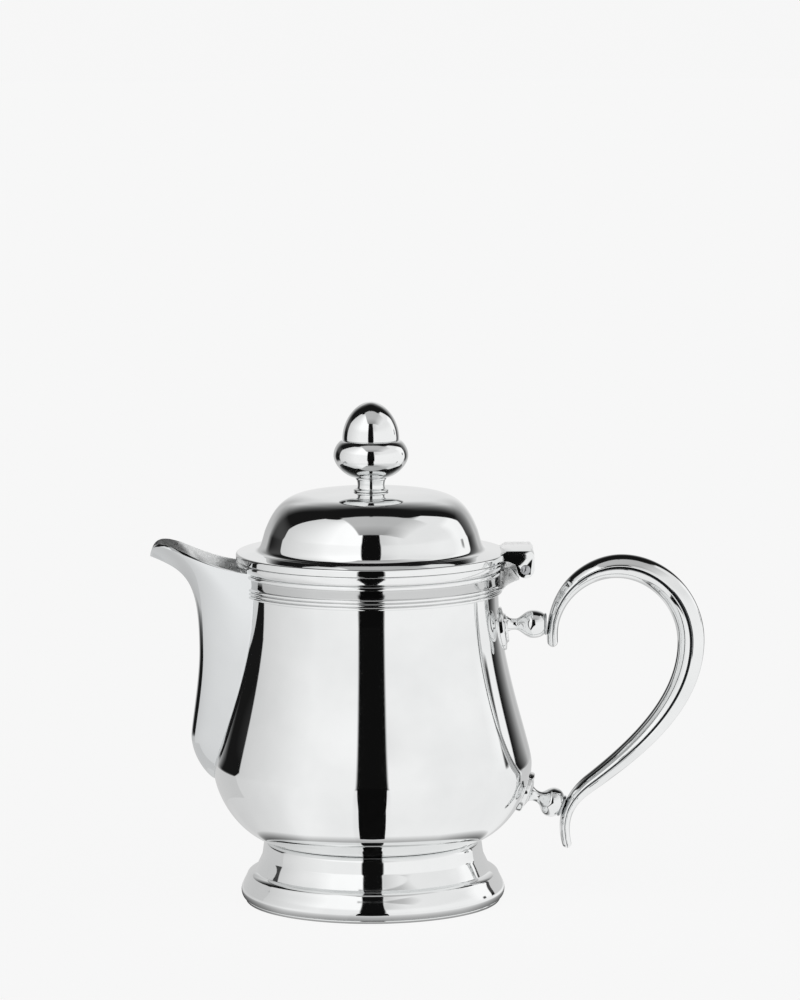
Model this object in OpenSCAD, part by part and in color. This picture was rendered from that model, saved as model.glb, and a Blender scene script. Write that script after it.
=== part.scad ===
// Silver-plated coffee pot: a spun pear-shaped body on a spun foot, a raised beak spout,
// a cast C-scroll handle on two turned sockets, and a hinged domed lid with an acorn finial.
// Millimetres. +Z is up, +X points to the handle, -X to the spout.
// The origin is the centre of the ring that the pot stands on.

/* [Body] */
// Height of the body, from the top of the foot to the rim
body_h = 110.1; // [104:0.1:118]
// Radius of the body at its widest line
belly_r = 62.2; // [60:0.1:64.5]
// Height of the widest line above the top of the foot
belly_h = 29.7; // [27:0.1:33]
// Radius of the straight neck under the rim
neck_r = 49.4; // [48:0.1:51]
// How far the shoulder curve holds the radius of the neck
shoulder_pull = 26.8; // [22:0.1:30]
// How far the curve holds the widest radius above the widest line
belly_pull = 7.6; // [5:0.1:12]
// How far the curve holds the widest radius below the widest line
belly_drop = 12.7; // [10:0.1:15]
// Thickness of the spun sheet of the body, foot, lid and spout
wall = 1.2; // [0.9:0.1:1.5]

/* [Foot] */
// Height of the foot, from the table to the body
foot_h = 24.3; // [22:0.1:27]
// Radius of the seat where the foot carries the body
seat_r = 40.8; // [39:0.1:42]
// Radius of the drum of the foot where it begins to flare
drum_r = 43.3; // [42.7:0.1:43.8]
// Height above the table at which the drum begins to flare
drum_h = 17.8; // [17:0.1:18.8]
// Radius of the crease between the flare of the drum and the skirt
crease_r = 46; // [45.4:0.1:46.6]
// Height of that crease above the table
crease_h = 12.2; // [11.6:0.1:12.8]
// Radius at which the shoulder of the skirt has turned down
shoulder_r = 49; // [48.2:0.1:49.4]
// Height of that shoulder above the table
shoulder_h = 10.6; // [10:0.1:11]
// Radius of the skirt of the foot at its widest line
skirt_r = 51.5; // [50.6:0.1:54]
// Height of the widest line of the skirt
skirt_bulge_h = 4.4; // [3.6:0.1:5.4]
// How far the wire ring under the skirt stands in from the widest line of the skirt
base_ring_inset = 1.7; // [0.9:0.1:2.6]
// Height of the wire ring
base_ring_h = 1.4; // [1:0.1:2]
// Radial width of the wire ring
base_ring_w = 3.2; // [2.4:0.1:4.5]

/* [Rim and reeded collar] */
// Height of the rim moulding
rim_h = 3.4; // [2.8:0.1:4.2]
// Outer radius of the rim moulding
rim_r = 52.6; // [52.2:0.1:54]
// Height of the reeded collar under the rim moulding
collar_h = 9.6; // [8.6:0.1:11]
// Radial thickness of the collar between its reeds
collar_t = 0.9; // [0.6:0.1:1.4]
// Radius of the large reed at the top of the collar
big_reed_r = 0.95; // [0.7:0.05:1.1]
// Radius of the three fine reeds at the bottom of the collar
fine_reed_r = 0.62; // [0.45:0.01:0.7]
// Pitch of the fine reeds
fine_reed_pitch = 1.42; // [1.42:0.01:1.6]

/* [Strainer] */
// Radius of each hole pierced through the body behind the spout
strainer_hole_r = 1.3; // [0.9:0.1:1.6]
// Distance between the holes
strainer_pitch = 5; // [4.2:0.1:6]
// Number of rows of holes
strainer_rows = 9; // [5:1:10]
// Height of the lowest row above the top of the foot
strainer_h = 38; // [34:1:44]

/* [Spout] */
// Half width of the spout where it meets the rim
spout_top_half_w = 19.8; // [17:0.1:22]
// Half width of the spout at the height of its waist
spout_mid_half_w = 18.2; // [16:0.1:20]
// Height of the lowest point of the spout above the top of the foot
spout_tip_h = 23.9; // [21:0.1:27]
// Height of the fullest point of the keel above the top of the foot
keel_bulge_h = 40.7; // [38:0.1:44]
// How far the keel stands out from the widest line of the body there
keel_bulge = 8.4; // [6:0.1:10]
// Depth of the waist of the keel below the rim
keel_waist_drop = 35.4; // [32:0.1:40]
// Reach of the waist of the keel from the axis of the pot
keel_waist_x = 67.2; // [65:0.1:69]
// Reach of the lip from the axis of the pot
lip_x = 86; // [82:0.1:90]
// Height of the lip above the rim
lip_rise = 1.3; // [-1:0.1:3]
// How far the edge of the beak rises above the line from rim to lip
beak_crest = 14; // [10:0.1:18]

/* [Hinge] */
// Distance of the hinge pin outside the rim moulding
hinge_out = 7; // [6.6:0.1:8]
// Depth of the hinge pin below the rim
hinge_drop = 2.8; // [2.4:0.1:3.2]
// Radius of the knuckles
knuckle_r = 3.35; // [3:0.05:3.6]
// Height of the flat top of the lug above the pin
lug_h = 7.3; // [6.6:0.1:8]
// Distance from the pin to the shoulders of the bracket
shoulder_reach = 5.3; // [4.9:0.1:5.6]
// Depth of the heel of the bracket under the pin
heel_drop = 4; // [3.6:0.1:4.4]
// Width of the hinge over its two outer knuckles
hinge_w = 27; // [24:0.1:30]
// Width of the middle knuckle
knuckle_w = 13; // [10:0.1:15]
// Width of the shoulders of the bracket
bracket_w = 24; // [20:0.1:26]
// Side clearance between neighbouring knuckles
knuckle_gap = 0.25; // [0.15:0.05:0.4]
// Radius of the hinge pin
pin_r = 1.3; // [1.1:0.05:1.5]
// Radial running clearance of the pin
pin_clear = 0.05; // [0.02:0.01:0.09]
// Radius of the domed heads of the pin
pin_head_r = 1.9; // [1.7:0.05:2.2]

/* [Sockets] */
// Depth of the axis of the upper socket below the rim
upper_drop = 26; // [24:0.1:29]
// Height of the lower socket on the body, above the top of the foot
lower_h = 17.9; // [16:0.1:20]
// Slope of the lower socket below the level
lower_slope = 21.8; // [18:0.1:26]
// Radius of the round plate under the upper socket
upper_plate_r = 8.6; // [7.4:0.1:9.4]
// Depth of the middle of that plate below the axis of its socket
upper_plate_drop = 1.7; // [0:0.1:2.4]
// Radius of the round plate under the lower socket
lower_plate_r = 8.1; // [7:0.1:9]
// Thickness of both plates
plate_t = 2.4; // [1.8:0.1:3]
// Radius of the waist of the sockets
socket_neck_r = 2.2; // [1.8:0.1:3]
// Radius of the bulb of the upper socket
upper_bulb_r = 5.45; // [4.8:0.05:6]
// Radius of the bulb of the lower socket
lower_bulb_r = 5.8; // [5:0.05:6.2]
// Radius of the sockets where they meet the handle
socket_end_r = 4.7; // [4.4:0.1:5.2]
// Thickness of the thin rings between the sockets and the handle
ring_t = 0.8; // [0.6:0.1:1.2]

/* [Handle] */
// Reach of the centre line of the upper scroll from the axis of the pot
scroll_x = 70.4; // [69:0.1:73]
// Length of the upper scroll below the axis of the socket
scroll_tail = 7; // [6:0.1:9]
// Reach of the centre line at the crown of the handle
crown_x = 96.3; // [93:0.1:99]
// Height of the crown above the axis of the upper socket
crown_up = 22.6; // [20:0.1:25]
// Greatest reach of the centre line
heel_x = 124.3; // [120:0.1:128]
// Depth of the point of greatest reach below the axis of the upper socket
heel_down = 6.9; // [4:0.1:10]
// Thickness of the handle at its upper tip
handle_tip_t = 4.2; // [3.6:0.1:5]
// Thickness of the handle at the crown
handle_crown_t = 9.4; // [8:0.1:10]
// Thickness of the handle at its greatest reach
handle_heel_t = 10.5; // [9:0.1:11.5]
// Thickness of the handle where it leaves the lower socket
handle_foot_t = 6.9; // [6:0.1:8]
// Thickness of the handle where its tail starts
tail_t = 4.8; // [4.2:0.1:5.6]
// Thickness of the handle at the end of its tail
tail_tip_t = 3.6; // [3:0.1:4.4]
// Width of the handle across, along most of its length
handle_w = 9.6; // [8.4:0.1:11]
// Width of the handle across at its tips
handle_tip_w = 5.6; // [4.6:0.1:7]
// Share of the thickness that the outer lobe of the handle takes
outer_lobe = 0.47; // [0.4:0.01:0.55]
// Depth of the groove between the lobes, as a share of half the width
groove = 0.22; // [0.12:0.01:0.3]

/* [Lid] */
// Height of the flange at its edge
flange_edge_h = 1.9; // [1.6:0.1:2.4]
// Radius of the flange
flange_r = 52.7; // [52.3:0.1:54]
// Height of the edge of the flange at the foot of its upper curve
flange_top_h = 2.9; // [2.6:0.1:3.4]
// Radius of the dome where the flange starts
dome_r = 41.4; // [40:0.1:43]
// Height of that line above the rim
dome_foot_h = 11.1; // [9.5:0.1:12]
// Height of the dome above the rim
dome_h = 26.4; // [25:0.1:30]
// Clearance between the lid and the rim
lid_gap = 0.1; // [0.05:0.01:0.2]
// Radial clearance between the bezel and the mouth
bezel_clear = 0.6; // [0.5:0.05:1]
// Depth of the bezel inside the mouth
bezel_depth = 5; // [3.5:0.1:6]
// Angle to which the lid opens
lid_open_angle = 105; // [90:1:110]

/* [Finial] */
// Radius of the collar that stands on the dome
finial_collar_r = 6.8; // [6:0.1:8]
// Height of the stem, from the dome to the cup
stem_h = 5.4; // [4.5:0.1:6.5]
// Radius of the waist of the stem
stem_r = 5.2; // [4.6:0.1:5.8]
// Height of the acorn's cup
cup_h = 14.5; // [13:0.1:16]
// Radius of the cup at its widest line
cup_r = 14.55; // [13:0.05:16]
// Radius of the nut of the acorn
acorn_r = 11.05; // [10:0.05:12]
// Height of the nut of the acorn
acorn_h = 14.9; // [13:0.1:17]
// Radius of the stud that ties the finial to the lid
stud_r = 1.6; // [1.4:0.1:2]

/* [Hidden] */

SILVER = [0.86, 0.86, 0.88];
BRIGHT = [0.93, 0.93, 0.95];
STEEL = [0.62, 0.63, 0.65];

// Fit between two pieces that are soldered together
seam = 0.05;
$fn = 96;

// Outer radius of the wire ring
base_ring_r = skirt_r - base_ring_inset;

// Levels
rim_z = foot_h + body_h;
collar_top_z = rim_z - rim_h;
collar_foot_z = collar_top_z - collar_h;
belly_z = foot_h + belly_h;
collar_out_r = neck_r + collar_t + big_reed_r;
lid_z = rim_z + lid_gap;
dome_top_z = rim_z + dome_h;

// Hinge axis
hinge_x = rim_r + hinge_out;
hinge_z = rim_z - hinge_drop;

// ---------------------------------------------------------------- curves

// Points of a cubic curve through p0 and p3, pulled towards p1 and p2
function curve(p0, p1, p2, p3, steps) =
    [for (i = [0:steps]) curve_point(p0, p1, p2, p3, i / steps)];

function curve_point(p0, p1, p2, p3, t) =
    pow(1 - t, 3) * p0 + 3 * pow(1 - t, 2) * t * p1 + 3 * (1 - t) * t * t * p2 + t * t * t * p3;

// Points of an arc, from angle a0 to angle a1
function arc(centre, r, a0, a1, steps) =
    [for (i = [0:steps]) centre + r * [cos(a0 + (a1 - a0) * i / steps),
                                       sin(a0 + (a1 - a0) * i / steps)]];

// All points of a list but its first
function rest(points) = [for (i = [1:len(points) - 1]) points[i]];

function reverse(points) = [for (i = [len(points) - 1:-1:0]) points[i]];

function unit(v) = v / norm(v);

// Left-hand normal of an open path at point i
function path_normal(path, i) =
    let (a = path[max(i - 1, 0)], b = path[min(i + 1, len(path) - 1)], d = unit(b - a))
    [-d[1], d[0]];

// Path moved to its left by d; no point crosses the axis
function moved_left(path, d) =
    [for (i = [0:len(path) - 1])
        let (p = path[i] + d * path_normal(path, i)) [i == 0 && path[0][0] == 0 ? 0 : p[0], p[1]]];

// ---------------------------------------------------------------- body

floor_sag = 2.4;

// Underside of the body, from its centre to the seat of the foot
body_floor = curve([0, foot_h - floor_sag], [seat_r * 0.5, foot_h - floor_sag],
                   [seat_r - 8, foot_h - 1.8], [seat_r, foot_h], 6);

// Outside of the body, from the seat of the foot up to the rim
body_side = concat(
    curve([seat_r, foot_h], [seat_r + 11, foot_h + 2.5],
          [belly_r, belly_z - belly_drop], [belly_r, belly_z], 14),
    rest(curve([belly_r, belly_z], [belly_r, belly_z + belly_pull],
               [neck_r, collar_foot_z - shoulder_pull], [neck_r, collar_foot_z], 18)),
    [[neck_r, rim_z]]);

body_path = concat(body_floor, rest(body_side));

// Outer radius of the body at height z
function body_r_at(z) = lookup(z, [for (p = body_side) [p[1], p[0]]]);

// Height of the underside of the body at radius r
function floor_z_at(r) = lookup(r, [for (p = body_path) if (p[1] <= foot_h + 2) [p[0], p[1]]]);

// Everything that the body, collar and rim fill, with a margin around them
module pot_envelope(margin) {
    rotate_extrude()
        polygon(concat(
            [[0, foot_h]],
            [for (p = body_side) if (p[1] < collar_foot_z) [p[0] + margin, p[1]]],
            [[neck_r + margin, collar_foot_z - margin],
             [collar_out_r + margin, collar_foot_z - margin],
             [collar_out_r + margin, collar_top_z - margin],
             [rim_r + margin, collar_top_z - margin],
             [rim_r + margin, rim_z + margin], [0, rim_z + margin]]));
}

module strainer_holes() {
    for (row = [0:strainer_rows - 1])
        let (count = row % 2 == 0 ? 3 : 4)
            for (i = [0:count - 1])
                translate([-belly_r - 5, (i - (count - 1) / 2) * strainer_pitch,
                           foot_h + strainer_h + row * strainer_pitch * 0.87])
                    rotate([0, 90, 0])
                        cylinder(r = strainer_hole_r, h = belly_r - neck_r + 15, $fn = 24);
}

module body_shell() {
    inner = moved_left(body_path, wall);
    last = len(inner) - 1;
    color(SILVER)
        difference() {
            rotate_extrude()
                polygon(concat(body_path, [[neck_r - wall, rim_z]],
                               reverse([for (i = [0:last - 1]) inner[i]])));
            strainer_holes();
        }
}

// ---------------------------------------------------------------- foot

module foot() {
    top = floor_z_at(seat_r) - seam;
    inner_top = floor_z_at(seat_r - wall) - seam;
    outer = concat(
        curve([seat_r, top], [seat_r + 1.2, top - 0.25],
              [drum_r - 0.7, drum_h + 5.2], [drum_r - 0.6, drum_h + 4], 6),
        rest(curve([drum_r - 0.6, drum_h + 4], [drum_r - 0.4, drum_h + 2.5],
                   [drum_r - 0.3, drum_h + 1.2], [drum_r, drum_h], 5)),
        rest(curve([drum_r, drum_h], [drum_r + 0.65, drum_h - 1.3],
                   [crease_r - 1.2, crease_h + 2.3], [crease_r, crease_h], 6)),
        rest(curve([crease_r, crease_h], [crease_r + 0.9, crease_h - 0.1],
                   [shoulder_r - 0.5, shoulder_h + 0.9], [shoulder_r, shoulder_h], 6)),
        rest(curve([shoulder_r, shoulder_h], [shoulder_r + 0.88, shoulder_h - 2.1],
                   [skirt_r - 0.1, skirt_bulge_h + 2], [skirt_r, skirt_bulge_h], 8)),
        rest(curve([skirt_r, skirt_bulge_h], [skirt_r, skirt_bulge_h - 1.4],
                   [base_ring_r + 1.1, base_ring_h + seam],
                   [base_ring_r + 0.2, base_ring_h + seam], 5)));
    inner = moved_left(outer, -wall);
    last = len(inner) - 1;
    color(SILVER)
        rotate_extrude()
            polygon(concat(outer, [[base_ring_r - wall, base_ring_h + seam]],
                           reverse([for (i = [1:last - 1]) inner[i]]),
                           [[seat_r - wall, inner_top]]));
}

module foot_base_ring() {
    round_r = base_ring_h * 0.4;
    color(BRIGHT)
        rotate_extrude()
            polygon(concat(
                [[base_ring_r - base_ring_w, 0]],
                arc([base_ring_r - round_r, round_r], round_r, -90, 0, 4),
                arc([base_ring_r - round_r, base_ring_h - round_r], round_r, 0, 90, 4),
                [[base_ring_r - base_ring_w, base_ring_h]]));
}

// ---------------------------------------------------------------- collar and rim

module reeded_collar() {
    back = neck_r + seam;
    core = neck_r + collar_t;
    big_z = collar_top_z - seam - big_reed_r - 0.2;
    cove_top = big_z - big_reed_r;
    fine_top = collar_foot_z + fine_reed_r + 2 * fine_reed_pitch;
    cove_foot = fine_top + fine_reed_r;
    color(BRIGHT)
        rotate_extrude()
            polygon(concat(
                [[back, collar_top_z - seam], [back, collar_foot_z]],
                [for (i = [0:2])
                    each arc([core, collar_foot_z + fine_reed_r + i * fine_reed_pitch],
                             fine_reed_r, -90, 90, 6)],
                rest(curve([core, cove_foot], [core - 0.35, cove_foot + 0.6],
                           [core - 0.1, cove_top - 0.6], [core, cove_top], 5)),
                rest(arc([core, big_z], big_reed_r, -90, 90, 8)),
                [[core, collar_top_z - seam]]));
}

module rim_moulding() {
    back = neck_r + seam;
    round_r = 0.5;
    color(BRIGHT)
        rotate_extrude()
            polygon(concat(
                [[back, collar_top_z]],
                curve([neck_r + collar_t + 0.7, collar_top_z],
                      [neck_r + collar_t + 1.5, collar_top_z + 0.3],
                      [rim_r, collar_top_z + rim_h * 0.5],
                      [rim_r, rim_z - round_r - 0.5], 6),
                arc([rim_r - round_r, rim_z - round_r], round_r, 0, 90, 4),
                [[back, rim_z]]));
}

// ---------------------------------------------------------------- spout

keel_bulge_z = foot_h + keel_bulge_h;
keel_waist_z = rim_z - keel_waist_drop;
tip_z = foot_h + spout_tip_h;
rim_seam_z = rim_z - 3.2;
rings_per_stretch = 9;
columns = 14;

// Keel of the spout in the middle plane as [reach, height], for u from 0 at the tip to 3 at the lip
function keel(u) =
    u <= 1 ? curve_point([body_r_at(tip_z) + 0.6, tip_z], [belly_r + 4.3, tip_z + 3.1],
                         [belly_r + keel_bulge, keel_bulge_z - 6.5],
                         [belly_r + keel_bulge, keel_bulge_z], u)
    : u <= 2 ? curve_point([belly_r + keel_bulge, keel_bulge_z],
                           [belly_r + keel_bulge, keel_bulge_z + 4.5],
                           [keel_waist_x, keel_waist_z - 12], [keel_waist_x, keel_waist_z], u - 1)
    : curve_point([keel_waist_x, keel_waist_z], [keel_waist_x, rim_z - 8.1],
                  [lip_x - 14.1, rim_z + lip_rise - 5.8], [lip_x, rim_z + lip_rise], u - 2);

// Keel moved inwards by the thickness of the sheet
function keel_inside(u) =
    let (d = unit(keel(min(u + 0.02, 3)) - keel(max(u - 0.02, 0))))
    keel(u) + wall * [-d[1], d[0]];

// Half width of the spout where it meets the body, at height z
function seam_half_w(z) =
    lookup(z, [for (p = curve([0.6, tip_z], [spout_mid_half_w - 2, tip_z],
                              [spout_mid_half_w + 0.8, keel_bulge_z + 15],
                              [spout_top_half_w, rim_seam_z], 24)) [p[1], p[0]]]);

// Radius that the spout's edge keeps clear of, at height z
function seat_r_at(z) =
    z > collar_top_z ? max(rim_r, flange_r) + 4 * seam
    : (z > collar_foot_z - 2 * seam ? collar_out_r : body_r_at(z)) + 2 * seam;

// Height of the seam for ring u: level with the keel up to the waist, then up to the rim
function seam_z(u) =
    u <= 2 ? keel(u)[1] : keel_waist_z + (rim_seam_z - keel_waist_z) * (u - 2);

// How far ring u has opened from the V of the channel into the lip: 0 to 1
function lip_share(u) = let (q = max(0, u - 2)) q * q * (3 - 2 * q);

// Point on ring u at share v from the seam to the keel; inset is 0 outside and 1 inside
function spout_point(u, v, inset) =
    let (q = lip_share(u),
         k = inset == 0 ? keel(u) : keel_inside(u),
         z0 = seam_z(u),
         y0 = max(0.3, seam_half_w(z0) - inset * wall * 1.15),
         r0 = seat_r_at(z0),
         x0 = sqrt(r0 * r0 - y0 * y0),
         b = [x0, y0, z0],
         p1 = [x0 + 0.55 * (k[0] - x0), y0 * (0.62 + 0.06 * q), z0 + 0.3 * q],
         p2 = [k[0] - q, y0 * (0.33 + 0.4 * q), k[1] + (beak_crest - 1.2) * q],
         p = curve_point(b, p1, p2, [k[0], 0, k[1]], v),
         clear = seat_r_at(p[2]),
         far = max(p[0], p[1] >= clear ? 0 : sqrt(clear * clear - p[1] * p[1])))
    [-far, p[1], p[2]];

function spout_ring(u, inset) = concat(
    [for (j = [0:columns]) let (p = spout_point(u, j / columns, inset)) [p[0], -p[1], p[2]]],
    [for (j = [columns - 1:-1:0]) spout_point(u, j / columns, inset)]);

module spout() {
    width = 2 * columns + 1;
    // Two close rings where the edge steps out over the collar
    u_step = 2 + (collar_foot_z - 4 * seam - keel_waist_z) / (rim_seam_z - keel_waist_z);
    u_over = u_step + 3 * seam / (rim_seam_z - keel_waist_z);
    regular = [for (i = [0:3 * rings_per_stretch]) i / rings_per_stretch];
    us = concat([for (u = regular) if (u < u_step - 0.02) u], [u_step, u_over],
                [for (u = regular) if (u > u_over + 0.02) u]);
    stretches = len(us) - 1;
    outer = [for (u = us) each spout_ring(u, 0)];
    inner = [for (u = us) each spout_ring(u, 1)];
    shift = len(outer);
    faces = concat(
        [for (i = [0:stretches - 1]) for (j = [0:width - 2])
            let (a = i * width + j)
            each [[a, a + 1, a + width], [a + 1, a + width + 1, a + width],
                  [shift + a, shift + a + width, shift + a + 1],
                  [shift + a + 1, shift + a + width, shift + a + width + 1]]],
        // Lower edge and rim
        [for (j = [0:width - 2])
            let (a = j, b = stretches * width + j)
            each [[a, shift + a, a + 1], [a + 1, shift + a, shift + a + 1],
                  [b, b + 1, shift + b], [b + 1, shift + b + 1, shift + b]]],
        // The two long edges along the body
        [for (i = [0:stretches - 1])
            let (a = i * width, b = i * width + width - 1)
            each [[a, a + width, shift + a], [a + width, shift + a + width, shift + a],
                  [b, shift + b, b + width], [b + width, shift + b, shift + b + width]]]);
    color(SILVER)
        polyhedron(points = concat(outer, inner), faces = faces, convexity = 8);
}

// ---------------------------------------------------------------- hinge

// Outline extruded across the hinge, centred on the middle plane
module across(width) {
    rotate([90, 0, 0])
        translate([0, 0, -width / 2])
            linear_extrude(width)
                children();
}

module pin_hole(width) {
    translate([hinge_x, 0, hinge_z])
        rotate([90, 0, 0])
            cylinder(r = pin_r + pin_clear, h = width, center = true, $fn = 48);
}

module knuckle(r, width) {
    translate([hinge_x, 0, hinge_z])
        rotate([90, 0, 0])
            cylinder(r = r, h = width, center = true, $fn = 64);
}

module hinge_bracket() {
    heel = [hinge_x - shoulder_reach * 0.43, hinge_z - heel_drop];
    shoulder = [hinge_x - shoulder_reach, hinge_z];
    root_z = collar_foot_z + 2.4;
    color(BRIGHT)
        difference() {
            union() {
                across(bracket_w)
                    polygon(concat(
                        [[neck_r - 4, hinge_z], shoulder],
                        curve(heel, heel - [2.6, 0.9], [collar_out_r + 0.9, root_z + 1.9],
                              [collar_out_r - 0.2, root_z], 8),
                        [[neck_r - 4, root_z]]));
                across(knuckle_w)
                    polygon([shoulder - [0.5, 0],
                             [hinge_x - knuckle_r * 0.5, hinge_z + knuckle_r * 0.86],
                             [hinge_x, hinge_z],
                             [hinge_x - knuckle_r * 0.34, hinge_z - knuckle_r * 0.94],
                             heel - [1, 0]]);
                knuckle(knuckle_r, knuckle_w);
            }
            pot_envelope(seam);
            pin_hole(hinge_w);
        }
}

module lid_hinge_lug() {
    top_z = hinge_z + lug_h;
    back_x = hinge_x + knuckle_r;
    pocket_w = knuckle_w + 2 * knuckle_gap;
    color(BRIGHT)
        difference() {
            union() {
                across(hinge_w)
                    polygon([[dome_r + 8, lid_z + 0.5], [rim_r + 0.5, lid_z + seam],
                             [hinge_x - 4.2, lid_z - 0.8],
                             [hinge_x - knuckle_r * 0.82, hinge_z - knuckle_r * 0.57],
                             [hinge_x, hinge_z], [back_x, hinge_z], [back_x, top_z - 1.4],
                             [back_x - 1.1, top_z], [flange_r - 0.4, top_z],
                             [dome_r + 8, top_z - 1.7]]);
                knuckle(knuckle_r, hinge_w);
            }
            lid_envelope(seam);
            // Room for the middle knuckle and its arm
            knuckle(knuckle_r + 0.3, pocket_w);
            translate([flange_r, -pocket_w / 2, hinge_z - knuckle_r - 1])
                cube([back_x - flange_r + 1, pocket_w, lid_z - hinge_z + knuckle_r + 1]);
            pin_hole(hinge_w + 2);
        }
}

module hinge_pin() {
    head_t = 0.9;
    half = hinge_w / 2 + seam;
    dome = (pow(pin_head_r, 2) + pow(head_t, 2)) / (2 * head_t);
    sweep = asin(pin_head_r / dome);
    color(STEEL)
        translate([hinge_x, 0, hinge_z])
            rotate([90, 0, 0])
                union() {
                    cylinder(r = pin_r, h = 2 * half, center = true, $fn = 48);
                    for (side = [0, 1])
                        mirror([0, 0, side])
                            rotate_extrude($fn = 48)
                                polygon(concat([[0, half]],
                                    arc([0, half + head_t - dome], dome, 90 - sweep, 90, 6)));
                }
}

// ---------------------------------------------------------------- sockets

// Places a turned piece with its axis on that of the lower socket
module on_lower_axis() {
    translate([body_r_at(foot_h + lower_h), 0, foot_h + lower_h])
        rotate([0, 90 + lower_slope, 0])
            children();
}

// Places a turned piece with its axis on that of the upper socket
module on_upper_axis() {
    translate([body_r_at(rim_z - upper_drop), 0, rim_z - upper_drop])
        rotate([0, 90, 0])
            children();
}

// Places a turned piece square to the leaning side of the body, just below the upper socket
module on_upper_seat() {
    seat_z = rim_z - upper_drop - upper_plate_drop;
    lean = atan((body_r_at(seat_z - 5) - body_r_at(seat_z + 5)) / 10);
    translate([body_r_at(seat_z), 0, seat_z])
        rotate([0, 90 - lean, 0])
            children();
}

// Round domed plate with a rounded edge; its flat top reaches flat_r from the middle
module socket_plate(plate_r, flat_r) {
    depth = 4;
    rotate_extrude()
        polygon(concat(
            [[0, -depth], [plate_r, -depth]],
            arc([plate_r - 0.7, 0.5], 0.7, 0, 70, 4),
            curve([plate_r * 0.72, plate_t * 0.62], [plate_r * 0.62, plate_t * 0.8],
                  [flat_r + 0.6, plate_t * 0.94], [flat_r, plate_t], 5),
            [[0, plate_t]]));
}

// Baluster with its waist near the plate and its bulb near the handle; root is what
// goes below its seat on a leaning plate
module socket_turning(bulb_r, length, root) {
    start = plate_t + seam;
    waist = start + 3.2;
    bulb = waist + (length - waist) * 0.6;
    rotate_extrude()
        polygon(concat(
            [[0, start - root], [socket_neck_r + 1, start - root]],
            curve([socket_neck_r + 1, start + 0.05], [socket_neck_r, start + 1.2],
                  [socket_neck_r, waist - 1], [socket_neck_r, waist], 5),
            rest(curve([socket_neck_r, waist], [socket_neck_r, waist + 2],
                       [bulb_r, bulb - 3], [bulb_r, bulb], 8)),
            rest(curve([bulb_r, bulb], [bulb_r, bulb + 1.9],
                       [socket_end_r + 0.5, length - 1.2], [socket_end_r, length], 5)),
            [[0, length]]));
}

handle_joint_t = 4.6;
upper_len = scroll_x - handle_joint_t / 2 - ring_t - 2 * seam - body_r_at(rim_z - upper_drop);
lower_len = 15.1;

module upper_socket_plate() {
    color(BRIGHT)
        difference() {
            on_upper_seat() socket_plate(upper_plate_r, socket_neck_r + 1.3 + upper_plate_drop);
            pot_envelope(seam);
        }
}

module upper_socket() {
    color(BRIGHT)
        difference() {
            on_upper_axis() socket_turning(upper_bulb_r, upper_len, 1);
            on_upper_seat()
                translate([0, 0, plate_t + seam - 4])
                    cylinder(r = upper_plate_r, h = 4);
        }
}

module upper_socket_ring() {
    color(STEEL)
        on_upper_axis()
            translate([0, 0, upper_len + seam])
                rotate_extrude()
                    polygon(concat([[0, 0]],
                        arc([socket_end_r - 0.4, ring_t / 2], ring_t / 2, -90, 90, 6), [[0, ring_t]]));
}

module lower_socket_plate() {
    color(BRIGHT)
        difference() {
            on_lower_axis() socket_plate(lower_plate_r, socket_neck_r + 1.2);
            pot_envelope(seam);
        }
}

module lower_socket() {
    color(BRIGHT) on_lower_axis() socket_turning(lower_bulb_r, lower_len, 0);
}

module lower_socket_ring() {
    color(STEEL)
        on_lower_axis()
            translate([0, 0, lower_len + seam])
                rotate_extrude()
                    polygon(concat([[0, 0]],
                        arc([socket_end_r - 0.4, ring_t / 2], ring_t / 2, -90, 90, 6), [[0, ring_t]]));
}

// ---------------------------------------------------------------- handle

upper_z = rim_z - upper_drop;
crown_z = upper_z + crown_up;
heel_z = upper_z - heel_down;

// Point on the axis of the lower socket at distance s from the body
function lower_axis_point(s) =
    [body_r_at(foot_h + lower_h) + s * cos(lower_slope), foot_h + lower_h - s * sin(lower_slope)];

// Centre of the handle where the lower socket meets it
lower_joint = lower_axis_point(lower_len + ring_t + 2 * seam + 2.31);

// Four curves of the centre line, from the upper tip to the lower tip
handle_curves = [
    [[scroll_x, upper_z - scroll_tail], [scroll_x - 1.4, upper_z + 10],
     [crown_x - 14.1, crown_z], [crown_x, crown_z]],
    [[crown_x, crown_z], [crown_x + 14.9, crown_z],
     [heel_x, heel_z + 16.2], [heel_x, heel_z]],
    [[heel_x, heel_z], [heel_x, heel_z - 23.6],
     lower_joint + [28.1, 24.7], lower_joint + [8.7, 10.2]],
    [lower_joint + [8.7, 10.2], lower_joint + [-1.15, 2.83],
     lower_joint + [-2.7, -5.2], lower_joint + [-0.6, -14]]
];

function handle_point(u) =
    let (i = min(3, floor(u)), c = handle_curves[i]) curve_point(c[0], c[1], c[2], c[3], u - i);

function handle_direction(u) =
    unit(handle_point(min(u + 0.01, 4)) - handle_point(max(u - 0.01, 0)));

function handle_t_at(u) = lookup(u, [[0, handle_tip_t], [0.2, handle_joint_t], [1, handle_crown_t],
    [2, handle_heel_t], [3, handle_foot_t], [3.4, tail_t], [4, tail_tip_t]]);

function handle_w_at(u) = lookup(u, [[0, handle_tip_w], [0.25, handle_w * 0.92], [1, handle_w],
    [3.2, handle_w * 0.94], [4, handle_tip_w]]);

lobe_angle = asin(1 - groove);
lobe_steps = 6;

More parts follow.
